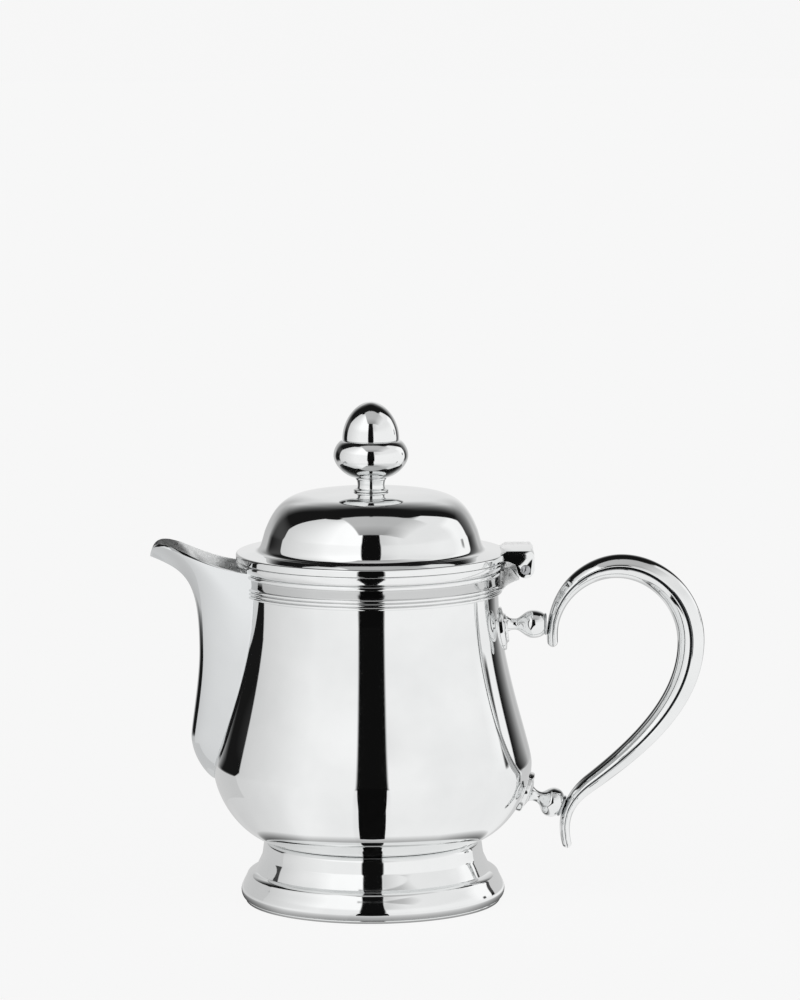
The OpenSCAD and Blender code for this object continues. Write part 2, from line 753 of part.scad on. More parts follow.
// Section of the handle as [towards the outside of the bow, across], two lobes with a groove
function handle_section(t, w) =
    let (k = 1 + cos(lobe_angle),
         ro = outer_lobe * t / k, ri = (1 - outer_lobe) * t / k,
         co = t / 2 - ro, ci = ri - t / 2,
         half = concat(
             [for (i = [0:lobe_steps]) let (a = (180 - lobe_angle) * i / lobe_steps)
                 [co + ro * cos(a), w / 2 * sin(a)]],
             [for (i = [1:lobe_steps]) let (a = lobe_angle + (180 - lobe_angle) * i / lobe_steps)
                 [ci + ri * cos(a), w / 2 * sin(a)]]))
    concat(half, [for (i = [len(half) - 2:-1:1]) [half[i][0], -half[i][1]]]);

// Ring of the sweep at u, moved along the centre line by push and scaled by share
function handle_ring(u, push, share) =
    let (d = handle_direction(u), p = handle_point(u) + push * d, n = [-d[1], d[0]])
    [for (q = handle_section(handle_t_at(u), handle_w_at(u)))
        [p[0] + share * q[0] * n[0], share * q[1], p[1] + share * q[0] * n[1]]];

module handle() {
    cap_r = tail_tip_t * 0.5;
    cap_angles = [80, 60, 40, 20];
    sweep_steps = 52;
    rings = concat(
        [for (a = cap_angles) handle_ring(0, -cap_r * sin(a), cos(a))],
        [for (i = [0:sweep_steps]) handle_ring(4 * i / sweep_steps, 0, 1)],
        [for (a = reverse(cap_angles)) handle_ring(4, cap_r * sin(a), cos(a))]);
    count = len(rings);
    m = len(rings[0]);
    faces = concat(
        [[for (j = [m - 1:-1:0]) j]],
        [for (i = [0:count - 2]) for (j = [0:m - 1])
            let (a = i * m + j, b = i * m + (j + 1) % m)
            each [[a, b, a + m], [b, b + m, a + m]]],
        [[for (j = [0:m - 1]) (count - 1) * m + j]]);
    color(BRIGHT)
        polyhedron(points = [for (r = rings) each r], faces = faces, convexity = 8);
}

// ---------------------------------------------------------------- lid

// Upper surface of the lid, from the top of the dome to the edge of the flange
lid_path = concat(
    curve([0, dome_top_z], [dome_r - 13.7, dome_top_z], [dome_r - 6.3, dome_top_z + 1.2],
          [dome_r, rim_z + dome_foot_h], 16),
    rest(curve([dome_r, rim_z + dome_foot_h], [dome_r + 1.3, rim_z + dome_foot_h - 4.2],
               [dome_r + 2.6, rim_z + flange_top_h + 1.6],
               [dome_r + 6, rim_z + flange_top_h + 0.8], 8)),
    rest(curve([dome_r + 6, rim_z + flange_top_h + 0.8],
               [dome_r + 7.8, rim_z + flange_top_h + 0.4],
               [flange_r - 2, rim_z + flange_top_h + 0.2],
               [flange_r - 0.5, rim_z + flange_top_h], 3)));

module lid_envelope(margin) {
    rotate_extrude()
        polygon(concat(
            [[0, lid_z - margin]],
            [for (p = reverse([for (q = lid_path) if (q[0] > dome_r - 8) q]))
                [p[0], p[1] + margin]],
            [[0, dome_top_z]]),
            convexity = 4);
    rotate_extrude()
        polygon([[0, lid_z - margin], [flange_r + margin, lid_z - margin],
                 [flange_r + margin, rim_z + flange_edge_h + margin],
                 [flange_r - 0.5, rim_z + flange_top_h + margin], [0, rim_z + flange_top_h]]);
}

module lid_shell() {
    inner = moved_left(lid_path, -wall);
    last = len(inner) - 1;
    color(SILVER)
        difference() {
            rotate_extrude()
                polygon(concat(
                    lid_path,
                    [[flange_r, rim_z + flange_edge_h], [flange_r, lid_z],
                     [flange_r - wall, lid_z], [flange_r - wall, inner[last][1]]],
                    reverse([for (i = [0:last - 1]) inner[i]])));
            translate([0, 0, dome_top_z - 3 * wall])
                cylinder(r = stud_r + seam, h = 6 * wall, $fn = 32);
        }
}

module lid_bezel() {
    r = neck_r - wall - bezel_clear;
    t = 1;
    color(SILVER)
        rotate_extrude()
            polygon([[r - t, rim_z - bezel_depth], [r - 0.2, rim_z - bezel_depth],
                     [r, rim_z - bezel_depth + 0.4], [r, lid_z],
                     [flange_r - wall - seam, lid_z], [flange_r - wall - seam, lid_z + t],
                     [r - t, lid_z + t]]);
}

// ---------------------------------------------------------------- finial

stem_z = dome_top_z + seam;
cup_z = stem_z + stem_h + seam;
acorn_z = cup_z + cup_h + seam;
cup_widest = cup_h * 0.59;

module stud_hole(z, h) {
    translate([0, 0, z]) cylinder(r = stud_r + seam, h = h, $fn = 32);
}

module finial_stem() {
    top_r = stem_r + 0.8;
    color(BRIGHT)
        difference() {
            rotate_extrude()
                polygon(concat(
                    [[0, stem_z]],
                    arc([finial_collar_r - 0.4, stem_z + 0.4], 0.4, -90, 60, 5),
                    curve([stem_r + 0.4, stem_z + 1.1], [stem_r, stem_z + 1.5],
                          [stem_r - 0.05, stem_z + stem_h * 0.55],
                          [stem_r + 0.5, stem_z + stem_h - 1], 6),
                    arc([top_r - 0.45, stem_z + stem_h - 0.45], 0.45, -90, 90, 6),
                    [[0, stem_z + stem_h]]));
            stud_hole(stem_z - 1, stem_h + 2);
        }
}

module finial_cup() {
    color(BRIGHT)
        difference() {
            rotate_extrude()
                polygon(concat(
                    [[0, cup_z]],
                    curve([stem_r + 0.7, cup_z], [stem_r + 4.3, cup_z],
                          [cup_r, cup_z + cup_widest - 3.9], [cup_r, cup_z + cup_widest], 12),
                    rest(curve([cup_r, cup_z + cup_widest], [cup_r, cup_z + cup_widest + 3.2],
                               [acorn_r + 1.2, cup_z + cup_h - 0.3],
                               [acorn_r + 0.2, cup_z + cup_h], 8)),
                    [[0, cup_z + cup_h]]));
            stud_hole(cup_z - 1, cup_h + 2);
        }
}

module finial_acorn() {
    top = acorn_z + acorn_h;
    color(BRIGHT)
        difference() {
            rotate_extrude()
                polygon(concat(
                    [[0, acorn_z], [acorn_r, acorn_z]],
                    rest(curve([acorn_r, acorn_z], [acorn_r, top - 7.1], [5.7, top], [0, top], 14))));
            stud_hole(acorn_z - 1, acorn_h * 0.5 + 1);
        }
}

washer_t = 1;
washer_z = dome_top_z - wall - 2 * seam - washer_t;
nut_h = 3;
nut_z = washer_z - seam - nut_h;
stud_end = 1;

module finial_stud() {
    low = nut_z - stud_end;
    color(STEEL)
        translate([0, 0, low])
            cylinder(r = stud_r, h = acorn_z + acorn_h * 0.5 - 0.5 - low, $fn = 32);
}

module finial_washer() {
    color(STEEL)
        difference() {
            translate([0, 0, washer_z]) cylinder(r = 6, h = washer_t);
            stud_hole(washer_z - 1, washer_t + 2);
        }
}

module finial_nut() {
    color(STEEL)
        difference() {
            translate([0, 0, nut_z]) cylinder(r = 4.2, h = nut_h, $fn = 6);
            stud_hole(nut_z - 1, nut_h + 2);
        }
}

body_shell();
foot();
foot_base_ring();
reeded_collar();
rim_moulding();
spout();
hinge_bracket();
upper_socket_plate();
upper_socket();
upper_socket_ring();
lower_socket_plate();
lower_socket();
lower_socket_ring();
handle();
lid_shell();
lid_bezel();
lid_hinge_lug();
hinge_pin();
finial_stem();
finial_cup();
finial_acorn();
finial_stud();
finial_washer();
finial_nut();
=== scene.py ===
"""Silver-plated coffee pot with a beak spout, a hinged lid, an acorn finial and a bow handle.

The turned pieces are profiles spun round their axis. The spout and the handle are grids
laid along their centre lines. Profiles are in millimetres and the meshes in metres.
"""

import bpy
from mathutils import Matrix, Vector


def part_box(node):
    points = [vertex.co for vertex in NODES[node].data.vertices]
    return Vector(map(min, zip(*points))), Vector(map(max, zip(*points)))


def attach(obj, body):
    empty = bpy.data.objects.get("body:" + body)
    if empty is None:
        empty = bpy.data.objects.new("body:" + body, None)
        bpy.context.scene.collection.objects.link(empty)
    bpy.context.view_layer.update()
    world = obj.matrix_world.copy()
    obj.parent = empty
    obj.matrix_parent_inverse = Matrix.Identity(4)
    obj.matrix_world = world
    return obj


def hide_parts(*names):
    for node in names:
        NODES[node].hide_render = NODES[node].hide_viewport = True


bl_info = {
    "name": "Silver coffee pot",
    "version": (1, 0, 0),
    "blender": (4, 5, 0),
    "location": "View3D > Sidebar > Coffee pot",
    "description": "Builds a silver-plated coffee pot, its finishes and its studio",
    "category": "Add Mesh",
}

from bisect import bisect_right
from math import atan, cos, degrees, exp, hypot, pi, radians, sin, sqrt

import bpy
from bpy.props import FloatProperty, FloatVectorProperty, IntProperty, PointerProperty
from mathutils import Matrix, Vector

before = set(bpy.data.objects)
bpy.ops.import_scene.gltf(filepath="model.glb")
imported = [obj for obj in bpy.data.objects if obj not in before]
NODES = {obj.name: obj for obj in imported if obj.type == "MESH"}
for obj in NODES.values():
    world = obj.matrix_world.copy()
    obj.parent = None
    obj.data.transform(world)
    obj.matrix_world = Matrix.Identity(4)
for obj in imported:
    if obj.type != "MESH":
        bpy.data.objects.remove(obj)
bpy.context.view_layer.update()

MM = 0.001
# Points closer than this, in metres, are one point
WELD = 2e-6
DISPLAY_GAMMA = 2.2
# Share of the light that polished silver gives back
SILVER_SHINE = 0.88


def node_top(node):
    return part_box(node)[1].z


def node_reach(node):
    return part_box(node)[1].y


# ---- colours


def to_linear(level):
    """Linear value of an sRGB level, both from 0 to 1."""
    return level / 12.92 if level <= 0.04045 else ((level + 0.055) / 1.055) ** 2.4


def linear(hex_colour):
    """Linear RGB of an sRGB hex value such as "F2F2EF"."""
    return tuple(to_linear(int(hex_colour[i : i + 2], 16) / 255) for i in (0, 2, 4))


def grey(level):
    """Linear RGBA of an sRGB grey from 0 to 1."""
    return (*[to_linear(level)] * 3, 1)


# ---- settings


def length(name, description, default):
    return FloatProperty(name=name, description=description, default=default, min=0, max=1,
                         unit="LENGTH", subtype="DISTANCE", precision=5)


def colour(name, description, hex_colour):
    return FloatVectorProperty(name=name, description=description, subtype="COLOR",
                               default=linear(hex_colour), min=0, max=1)


class PotSizes(bpy.types.PropertyGroup):
    """Sizes of the pot; their defaults come from the frame"""

    rim_z: length("Rim height", "Height of the rim of the mouth", node_top("rim_moulding"))
    belly_r: length("Belly radius", "Greatest radius of the body", node_reach("body_shell"))
    neck_r: length("Neck radius", "Radius of the straight neck", 49.4 * MM)
    foot_h: length("Foot height", "Height of the seat of the body on its foot", 24.3 * MM)
    skirt_r: length("Skirt radius", "Greatest radius of the foot", node_reach("foot"))
    rim_r: length("Rim radius", "Greatest radius of the rim", node_reach("rim_moulding"))
    flange_r: length("Flange radius", "Radius of the lid's flange", node_reach("lid_shell"))
    dome_top_z: length("Dome height", "Height of the top of the dome", node_top("lid_shell"))
    wall: length("Wall", "Thickness of the spun sheet", 1.2 * MM)
    seam: length("Seam", "Gap between soldered pieces", 0.05 * MM)
    steps: IntProperty(name="Steps", description="Facets round a large turned piece",
                       default=192, min=48, max=256)


class PotFinishes(bpy.types.PropertyGroup):
    """Colours and roughness of the finishes"""

    silver: colour("Silver", "Colour of bright silver plate", "F1F2F2")
    # Raised is the silver made greyer on the spout alone: painted shade that darkens it
    raised: colour("Raised", "Colour of the hand-raised spout", "E8EAEB")
    # Groove is the dark of the handle's groove painted into the metal's colour: painted shade
    groove: colour("Groove", "Colour of old tarnish in a groove", "606264")
    tarnish: colour("Tarnish", "Colour of silver in the recesses", "C3C5C6")
    steel: colour("Steel", "Colour of the hinge pin and fixings", "B4B5B8")
    polish: FloatProperty(name="Polish", description="Roughness of the mirror polish",
                          default=0.035, min=0.0, max=0.3, subtype="FACTOR")


class Millimetres:
    """The sizes of the scene in millimetres, with the levels and radii that follow."""

    def __init__(self):
        sizes = bpy.context.scene.pot_sizes
        for key in PotSizes.__annotations__:
            value = getattr(sizes, key)
            setattr(self, key, value if key == "steps" else value / MM)
        self.collar_top_z = self.rim_z - 3.4
        self.collar_foot_z = self.collar_top_z - 9.6
        self.belly_z = self.foot_h + 29.7
        self.lid_z = self.rim_z + 2 * self.seam
        # Seat of the body on its foot, wire under the skirt, back and core of collar and rim
        self.seat_r = 40.8
        self.wire_r = self.skirt_r - 1.7
        self.back_r = self.neck_r + self.seam
        self.core_r = self.neck_r + 0.9


# ---- curves


def bezier(p0, p1, p2, p3, t):
    """Point at t (0 to 1) of a cubic curve from p0 to p3, pulled towards p1 and p2."""
    a, b, c, d = (1 - t) ** 3, 3 * (1 - t) ** 2 * t, 3 * (1 - t) * t * t, t**3
    return tuple(a * w + b * x + c * y + d * z for w, x, y, z in zip(p0, p1, p2, p3))


def curve(p0, p1, p2, p3, steps):
    """Points along such a curve."""
    return [bezier(p0, p1, p2, p3, i / steps) for i in range(steps + 1)]


def sweep(start, leaving, arriving, end, steps):
    """Points along a curve whose pulls are given as moves from its start and its end."""
    return curve(start, (start[0] + leaving[0], start[1] + leaving[1]),
                 (end[0] + arriving[0], end[1] + arriving[1]), end, steps)


def arc(centre, radius, start, end, steps):
    """Points of an arc between two angles in degrees."""
    angles = [radians(start + (end - start) * i / steps) for i in range(steps + 1)]
    return [(centre[0] + radius * cos(a), centre[1] + radius * sin(a)) for a in angles]


def joined(*parts):
    """One list of points without repeats where its parts meet."""
    points = []
    for part in parts:
        for p in part:
            if not points or hypot(p[0] - points[-1][0], p[1] - points[-1][1]) > 1e-4:
                points.append(p)
    return points


def offset(path, distance):
    """Path moved to its left; no point crosses the axis."""
    moved = []
    for i, p in enumerate(path):
        a, b = path[max(i - 1, 0)], path[min(i + 1, len(path) - 1)]
        span = hypot(b[0] - a[0], b[1] - a[1])
        x = p[0] - distance * (b[1] - a[1]) / span
        moved.append((0.0 if p[0] == 0 else x, p[1] + distance * (b[0] - a[0]) / span))
    return moved


def next_row(at, rows):
    """Number of the row after a place, in rows of (place, value) that rise."""
    return min(max(bisect_right([r[0] for r in rows], at), 1), len(rows) - 1)


def lookup(at, rows):
    """Value at a place in such rows, on straight lines."""
    i = next_row(at, rows)
    (x0, y0), (x1, y1) = rows[i - 1], rows[i]
    return y0 + (y1 - y0) * min(max((at - x0) / (x1 - x0), 0), 1)


def smooth_lookup(at, rows):
    """The same on a smooth curve through the rows."""
    i = next_row(at, rows)

    def slope(k):
        a, b = rows[max(k - 1, 0)], rows[min(k + 1, len(rows) - 1)]
        return (b[1] - a[1]) / (b[0] - a[0])

    (x0, y0), (x1, y1) = rows[i - 1], rows[i]
    h = x1 - x0
    t = min(max((at - x0) / h, 0), 1)
    return (y0 * (1 + 2 * t) * (1 - t) ** 2 + slope(i - 1) * h * t * (1 - t) ** 2
            + y1 * t * t * (3 - 2 * t) + slope(i) * h * t * t * (t - 1))


# ---- modelling


def clear_selection():
    if bpy.context.mode != "OBJECT":
        bpy.ops.object.mode_set(mode="OBJECT")
    bpy.ops.object.select_all(action="DESELECT")


def only(piece):
    """Selects one piece and makes it active."""
    clear_selection()
    piece.select_set(True)
    bpy.context.view_layer.objects.active = piece


def named(name):
    piece = bpy.context.active_object
    piece.name = name
    piece.data.name = name
    return piece


def apply_modifier(piece, kind, **settings):
    only(piece)
    modifier = piece.modifiers.new(kind.title(), kind)
    for key, value in settings.items():
        setattr(modifier, key, value)
    bpy.ops.object.modifier_apply(modifier=modifier.name)


def round_edges(piece, width, angle):
    """Rounds off the edges that turn by more than an angle in degrees, width in millimetres."""
    apply_modifier(piece, "BEVEL", width=width * MM, segments=3, limit_method="ANGLE",
                   angle_limit=radians(angle))
    smooth(piece)


def smooth(piece, angle=32):
    only(piece)
    bpy.ops.object.shade_smooth_by_angle(angle=radians(angle))


def place(piece, matrix):
    """Moves a piece and leaves its place in its mesh."""
    only(piece)
    piece.matrix_world = matrix
    bpy.ops.object.transform_apply(location=True, rotation=True, scale=True)


def close_up(piece, flat=None):
    """Merges what meets, joins faces within flat degrees, and turns the faces outwards."""
    if bpy.context.mode == "OBJECT":
        only(piece)
        bpy.ops.object.mode_set(mode="EDIT")
    bpy.ops.mesh.select_all(action="SELECT")
    bpy.ops.mesh.remove_doubles(threshold=WELD)
    if flat:
        bpy.ops.mesh.dissolve_limited(angle_limit=radians(flat))
    bpy.ops.mesh.normals_make_consistent(inside=False)
    bpy.ops.object.mode_set(mode="OBJECT")


def turn(name, profile, steps):
    """Turned piece: a profile of (radius, height), drawn point by point and spun round Z."""
    clear_selection()
    bpy.ops.mesh.primitive_plane_add(size=MM)
    piece = named(name)
    bpy.ops.object.mode_set(mode="EDIT")
    bpy.ops.mesh.merge(type="CENTER")
    at = (0.0, 0.0)
    for i, (r, z) in enumerate(profile):
        move = ((r - at[0]) * MM, 0, (z - at[1]) * MM)
        if i == 0:
            bpy.ops.transform.translate(value=move)
        else:
            bpy.ops.mesh.extrude_region_move(TRANSFORM_OT_translate={"value": move})
        at = (r, z)
    bpy.ops.mesh.select_all(action="SELECT")
    bpy.ops.mesh.spin(steps=steps, angle=2 * pi, use_auto_merge=True, center=(0, 0, 0),
                      axis=(0, 0, 1))
    close_up(piece)
    smooth(piece)
    return piece


def drape(name, across, along, shape):
    """A grid whose points are laid on a surface by shape(v, u), with both from 0 to 1."""
    clear_selection()
    bpy.ops.mesh.primitive_grid_add(x_subdivisions=across, y_subdivisions=along, size=1)
    piece = named(name)
    for vertex in piece.data.vertices:
        v, u = vertex.co.x + 0.5, vertex.co.y + 0.5
        vertex.co = Vector(shape(min(max(v, 0), 1), min(max(u, 0), 1))) * MM
    return piece


def cut(piece, cutter):
    """Takes the cutter's shape out of the piece, and the cutter out of the scene."""
    apply_modifier(piece, "BOOLEAN", operation="DIFFERENCE", solver="EXACT", object=cutter)
    bpy.data.objects.remove(cutter)
    smooth(piece)


def eased_copy(name, node, ease):
    """Copy of a node of the frame with its edges rounded off by ease millimetres."""
    source = NODES[node]
    clear_selection()
    bpy.ops.mesh.primitive_plane_add(size=MM)
    piece = named(name)
    piece.data = source.data.copy()
    piece.data.name = name
    piece.data.transform(source.matrix_world)
    close_up(piece, flat=1)
    round_edges(piece, ease, 40)
    return piece


def finish_piece(piece, material, body, slot, *nodes):
    """Dresses a piece, sets it on its body and hides the frame's nodes that it stands for."""
    piece.data.materials.clear()
    piece.data.materials.append(material)
    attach(piece, body)
    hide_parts(*nodes)


def dress_node(node, material):
    """Gives a node of the frame its finish."""
    piece = NODES[node]
    if not piece.material_slots:
        raise RuntimeError(node + " has no material slot")
    for slot in piece.material_slots:
        slot.material = material


# ---- materials

COORDINATES, NOISE = "ShaderNodeTexCoord", "ShaderNodeTexNoise"
MATH, RANGE, VECTOR = "ShaderNodeMath", "ShaderNodeMapRange", "ShaderNodeVectorMath"
MIX, EMISSION, LIGHT_PATH = "ShaderNodeMixShader", "ShaderNodeEmission", "ShaderNodeLightPath"


def add(tree, kind, inputs=(), **settings):
    """Adds a node with its settings, and with a value or a link on each of the inputs given.

    inputs is {name or number: value or socket}, or a row of them in the node's own order.
    """
    node = tree.nodes.new(kind)
    for key, value in settings.items():
        setattr(node, key, value)
    for key, value in (inputs if isinstance(inputs, dict) else dict(enumerate(inputs))).items():
        if isinstance(value, bpy.types.NodeSocket):
            tree.links.new(value, node.inputs[key])
        else:
            node.inputs[key].default_value = value
    return node


def metal(name, colour, shade, roughness, line_mm, line_depth, hollow=None):
    """Polished metal: fine turning lines, swirls of the polishing cloth and an uneven haze.

    colour and shade are the finishes of the metal and of its haze. line_mm is the pitch of
    the turning lines and line_depth their bump, in millimetres. Inside the two radii given
    as the last argument, round Z, the colour darkens: painted shade in a recess.
    """
    material = bpy.data.materials.get(name)
    if material:
        return material
    finishes = bpy.context.scene.pot_finishes
    bright, dull = getattr(finishes, colour), getattr(finishes, shade)
    haze_mm, swirl_mm = 38, 1.6
    material = bpy.data.materials.new(name)
    material.use_nodes = True
    tree = material.node_tree
    shader = tree.nodes["Principled BSDF"]
    shader.inputs["Metallic"].default_value = 1.0
    place_on = add(tree, COORDINATES).outputs["Object"]
    haze = add(tree, NOISE, {"Vector": place_on, "Scale": 1 / (haze_mm * MM), "Detail": 3.0,
                             "Roughness": 0.55})
    blotch = add(tree, "ShaderNodeValToRGB", {"Fac": haze.outputs["Fac"]})
    hazy, clear = blotch.color_ramp.elements
    hazy.position, clear.position = 0.25, 0.6
    hazy.color = (*[0.25 * d + 0.75 * b for d, b in zip(dull, bright)], 1)
    clear.color = (*bright, 1)
    tint = blotch.outputs["Color"]
    # Painted shade: the colour falls to 0.7 towards the inner radius, as if shade filled the
    # recess
    if hollow:
        flat = add(tree, VECTOR, (place_on, (1, 1, 0)), operation="MULTIPLY")
        away = add(tree, VECTOR, (flat.outputs[0],), operation="LENGTH").outputs["Value"]
        depth = add(tree, RANGE, (away, hollow[0] * MM, hollow[1] * MM, 0.7, 1.0))
        tint = add(tree, VECTOR, (tint, depth.outputs[0]), operation="MULTIPLY").outputs[0]
    tree.links.new(tint, shader.inputs["Base Color"])
    # Turning lines: noise drawn out round the piece and packed along its height
    squeeze = add(tree, "ShaderNodeMapping", {"Vector": place_on, "Scale": (0.04, 0.04, 1.0)})
    lines = add(tree, NOISE, {"Vector": squeeze.outputs["Vector"], "Detail": 2.0,
                              "Scale": 1 / (line_mm * MM), "Roughness": 0.6})
    # Swirls of the polishing cloth
    swirl = add(tree, NOISE, {"Vector": place_on, "Scale": 1 / (swirl_mm * MM),
                              "Detail": 4.0, "Roughness": 0.65, "Distortion": 0.8})
    rough = add(tree, RANGE, (swirl.outputs["Fac"], 0.3, 0.75, roughness * 0.7,
                              roughness * 1.5))
    tree.links.new(rough.outputs["Result"], shader.inputs["Roughness"])
    bump = add(tree, "ShaderNodeBump", {"Height": lines.outputs["Fac"], "Strength": 1.0,
                                        "Distance": line_depth * MM})
    tree.links.new(bump.outputs["Normal"], shader.inputs["Normal"])
    return material


def polish(times=1):
    """Roughness of the mirror polish, taken this many times."""
    return bpy.context.scene.pot_finishes.polish * times


def spun_silver():
    """Silver plate on spun sheet, buffed to a mirror: faint lines round the pot."""
    return metal("spun silver plate, mirror polished", "silver", "tarnish", polish(), 2.4,
                 0.00025)


def shaded_spout_silver():
    """Silver plate on the spout, raised by hand: smooth, with a greyer colour than the spun
    sheet as painted shade.
    """
    return metal("raised silver plate, hand polished", "raised", "tarnish", polish(1.4), 2.4,
                 0.0003)


def satin_silver():
    """Silver plate inside the spout and on the bracket, where no buff reaches: a soft gleam."""
    return metal("silver plate, satin", "silver", "tarnish", 0.3, 1.8, 0.002)


def reeded_silver():
    """Cast silver of the collar, with painted shade darkening the colour between the reeds."""
    core = Millimetres().core_r
    return metal("cast silver plate, tarnished between the reeds", "silver", "tarnish",
                 polish(1.6), 3.5, 0.0006, hollow=(core - 0.1, core + 0.5))


def cast_silver():
    """Silver plate on cast and chased metal: a softer gleam than the spun sheet."""
    return metal("cast silver plate, hand polished", "silver", "tarnish", polish(1.6), 3.5,
                 0.0006)


def painted_groove_shade():
    """Cast silver at the bottom of the handle's groove, darkened with painted shade."""
    return metal("cast silver plate, tarnished groove", "groove", "groove", polish(6), 3.5,
                 0.0006)


def dull_ring():
    """Thin turned rings at the ends of the sockets, where a dark line of tarnish gathers."""
    return metal("turned ring, tarnished", "tarnish", "steel", polish(4), 0.6, 0.001)


def turned_steel():
    """Turned steel of the pin, stud, washer and nut: clear lines from the lathe."""
    return metal("turned steel, lightly polished", "steel", "tarnish", 0.22, 0.25, 0.004)


# ---- profiles


def body_side(s):
    """Outside of the body, from the seat of the foot up to the foot of the collar."""
    belly = (s.belly_r, s.belly_z)
    return joined(
        sweep((s.seat_r, s.foot_h), (11, 2.5), (0, -12.7), belly, 26),
        sweep(belly, (0, 7.6), (0, -26.8), (s.neck_r, s.collar_foot_z), 40),
    )


def body_radius(s):
    """Function that gives the outer radius of the body at a height."""
    rows = [(z, r) for r, z in body_side(s)] + [(s.rim_z, s.neck_r)]
    return lambda z: lookup(z, rows)


def body_profile(s):
    outside = joined(
        sweep((0, s.foot_h - 2.4), (20.4, 0), (-8, -1.8), (s.seat_r, s.foot_h), 16),
        body_side(s),
        [(s.neck_r, s.collar_foot_z + k * 2.6) for k in range(1, 6)],
    )
    inside = offset(outside, s.wall)
    lip = arc((s.neck_r - s.wall / 2, s.rim_z - s.wall / 2), s.wall / 2, 0, 180, 6)
    inside[-1] = (s.neck_r - s.wall, s.rim_z - s.wall / 2)
    return joined(outside, lip, inside[::-1])


def foot_profile(s):
    seat, waist, drum = (s.seat_r, s.foot_h - s.seam), (42.7, 21.8), (43.3, 17.8)
    crease, shoulder = (46, 12.2), (49, 10.6)
    bulge, hem = (s.skirt_r, 4.4), (s.skirt_r - 1.5, 1.45)
    outside = joined(
        sweep(seat, (1.2, -0.25), (-0.1, 1.2), waist, 14),
        sweep(waist, (0.2, -1.5), (-0.3, 1.2), drum, 10),
        sweep(drum, (0.65, -1.3), (-1.2, 2.3), crease, 14),
        sweep(crease, (0.9, -0.1), (-0.5, 0.9), shoulder, 14),
        sweep(shoulder, (0.88, -2.1), (-0.1, 2), bulge, 18),
        sweep(bulge, (0, -1.4), (0.9, 0), hem, 12),
    )
    inside = offset(outside, -s.wall)
    inside[0] = (seat[0] - s.wall, seat[1] - 0.06)
    inside[-1] = (s.wire_r - s.wall, hem[1])
    return joined(outside, inside[::-1], [outside[0]])


def base_ring_profile(s):
    outer, r, high, chamfer = s.wire_r, 0.56, 1.4, 0.2
    inner, flat = outer - 3.2, outer - 1.8
    return joined(
        [(inner, chamfer), (inner + chamfer, 0), (flat, 0)],
        arc((outer - r, r), r, -90, 0, 7), arc((outer - r, high - r), r, 0, 90, 7),
        [(flat, high), (inner + chamfer, high), (inner, high - chamfer), (inner, chamfer)],
    )


def collar_profile(s):
    reed, pitch, big = 0.62, 1.42, 0.95
    foot, top = s.collar_foot_z, s.collar_top_z - s.seam
    big_z = top - big - 0.2
    cove_foot, cove_top = (s.core_r, foot + 2 * reed + 2 * pitch), (s.core_r, big_z - big)
    reeds = [arc((s.core_r, foot + reed + i * pitch), reed, -90, 90, 12) for i in range(3)]
    return joined(
        [(s.back_r, top), (s.back_r, foot)], *reeds,
        sweep(cove_foot, (-0.35, 0.6), (-0.1, -0.6), cove_top, 12),
        arc((s.core_r, big_z), big, -90, 90, 16),
        [(s.core_r, top), (s.back_r, top)],
    )


def rim_profile(s):
    foot, r = s.collar_top_z, 0.5
    return joined(
        [(s.back_r, foot)],
        sweep((s.core_r + 0.7, foot), (0.8, 0.3), (0, -0.7), (s.rim_r, s.rim_z - r - 0.5), 14),
        arc((s.rim_r - r, s.rim_z - r), r, 0, 90, 8),
        [(s.rim_r - 1.5, s.rim_z), (s.back_r + 0.3, s.rim_z), (s.back_r, s.rim_z - 0.3),
         (s.back_r, foot)],
    )


def lid_profile(s):
    dome, flange_top = (41.4, s.rim_z + 11.1), s.rim_z + 2.9
    bend, edge = (dome[0] + 4.7, flange_top + 0.7), (s.flange_r - 0.5, flange_top)
    edge_steps, heel = 6, 0.3
    outside = joined(
        curve((0, s.dome_top_z), (dome[0] - 13.7, s.dome_top_z),
              (dome[0] - 6.3, s.dome_top_z + 1.2), dome, 56),
        sweep(dome, (1.8, -6.2), (-2.9, 0.15), bend, 30),
        sweep(bend, (2.6, -0.4), (-1.5, 0.2), edge, 12),
        sweep(edge, (0.3, -0.1), (0, 0.5), (s.flange_r, flange_top - 0.9), edge_steps),
    )
    inside = offset(outside[:-edge_steps], -s.wall)
    return joined(
        outside,
        [(s.flange_r, s.lid_z + 3 * heel)],
        arc((s.flange_r - heel, s.lid_z + heel), heel, 0, -90, 5),
        [(s.flange_r - 2 * heel, s.lid_z), (s.flange_r - s.wall, s.lid_z),
         (s.flange_r - s.wall, inside[-1][1] - 0.6)],
        inside[::-1],
    )


def bezel_profile(s):
    r, t, foot = s.neck_r - s.wall - 0.6, 1.0, s.rim_z - 5
    edge, corner, chamfer = s.flange_r - s.wall - s.seam, 0.4, 0.2
    return joined(
        [(r - t, foot + chamfer), (r - t + chamfer, foot)],
        [(r - corner, foot)], arc((r - corner, foot + corner), corner, -90, 0, 5),
        [(r, s.lid_z - 0.4), (r, s.lid_z), (edge, s.lid_z), (edge, s.lid_z + t),
         (r - t, s.lid_z + t), (r - t, foot + chamfer)],
    )


def stem_profile(z, top, hole):
    """Stem between the dome and the cup, round the hole of the stud."""
    r, collar_r, bead, high = 5.2, 6.8, 0.4, top - z
    return joined(
        [(hole, z), (collar_r - 1, z)], arc((collar_r - bead, z + bead), bead, -90, 60, 9),
        curve((r + 0.4, z + 1.1), (r, z + 1.5), (r - 0.05, z + high * 0.55),
              (r + 0.4, z + high - 1), 16),
        arc((r + 0.35, top - 0.45), 0.45, -80, 90, 9), [(hole, top), (hole, z)],
    )


def cup_profile(z, top, hole):
    widest = (14.55, z + (top - z) * 0.59)
    return joined(
        [(hole, z)],
        sweep((5.9, z), (3.6, 0), (0, -3.9), widest, 26),
        sweep(widest, (0, 3.2), (1, -0.3), (11.25, top), 18),
        [(hole, top), (hole, z)],
    )


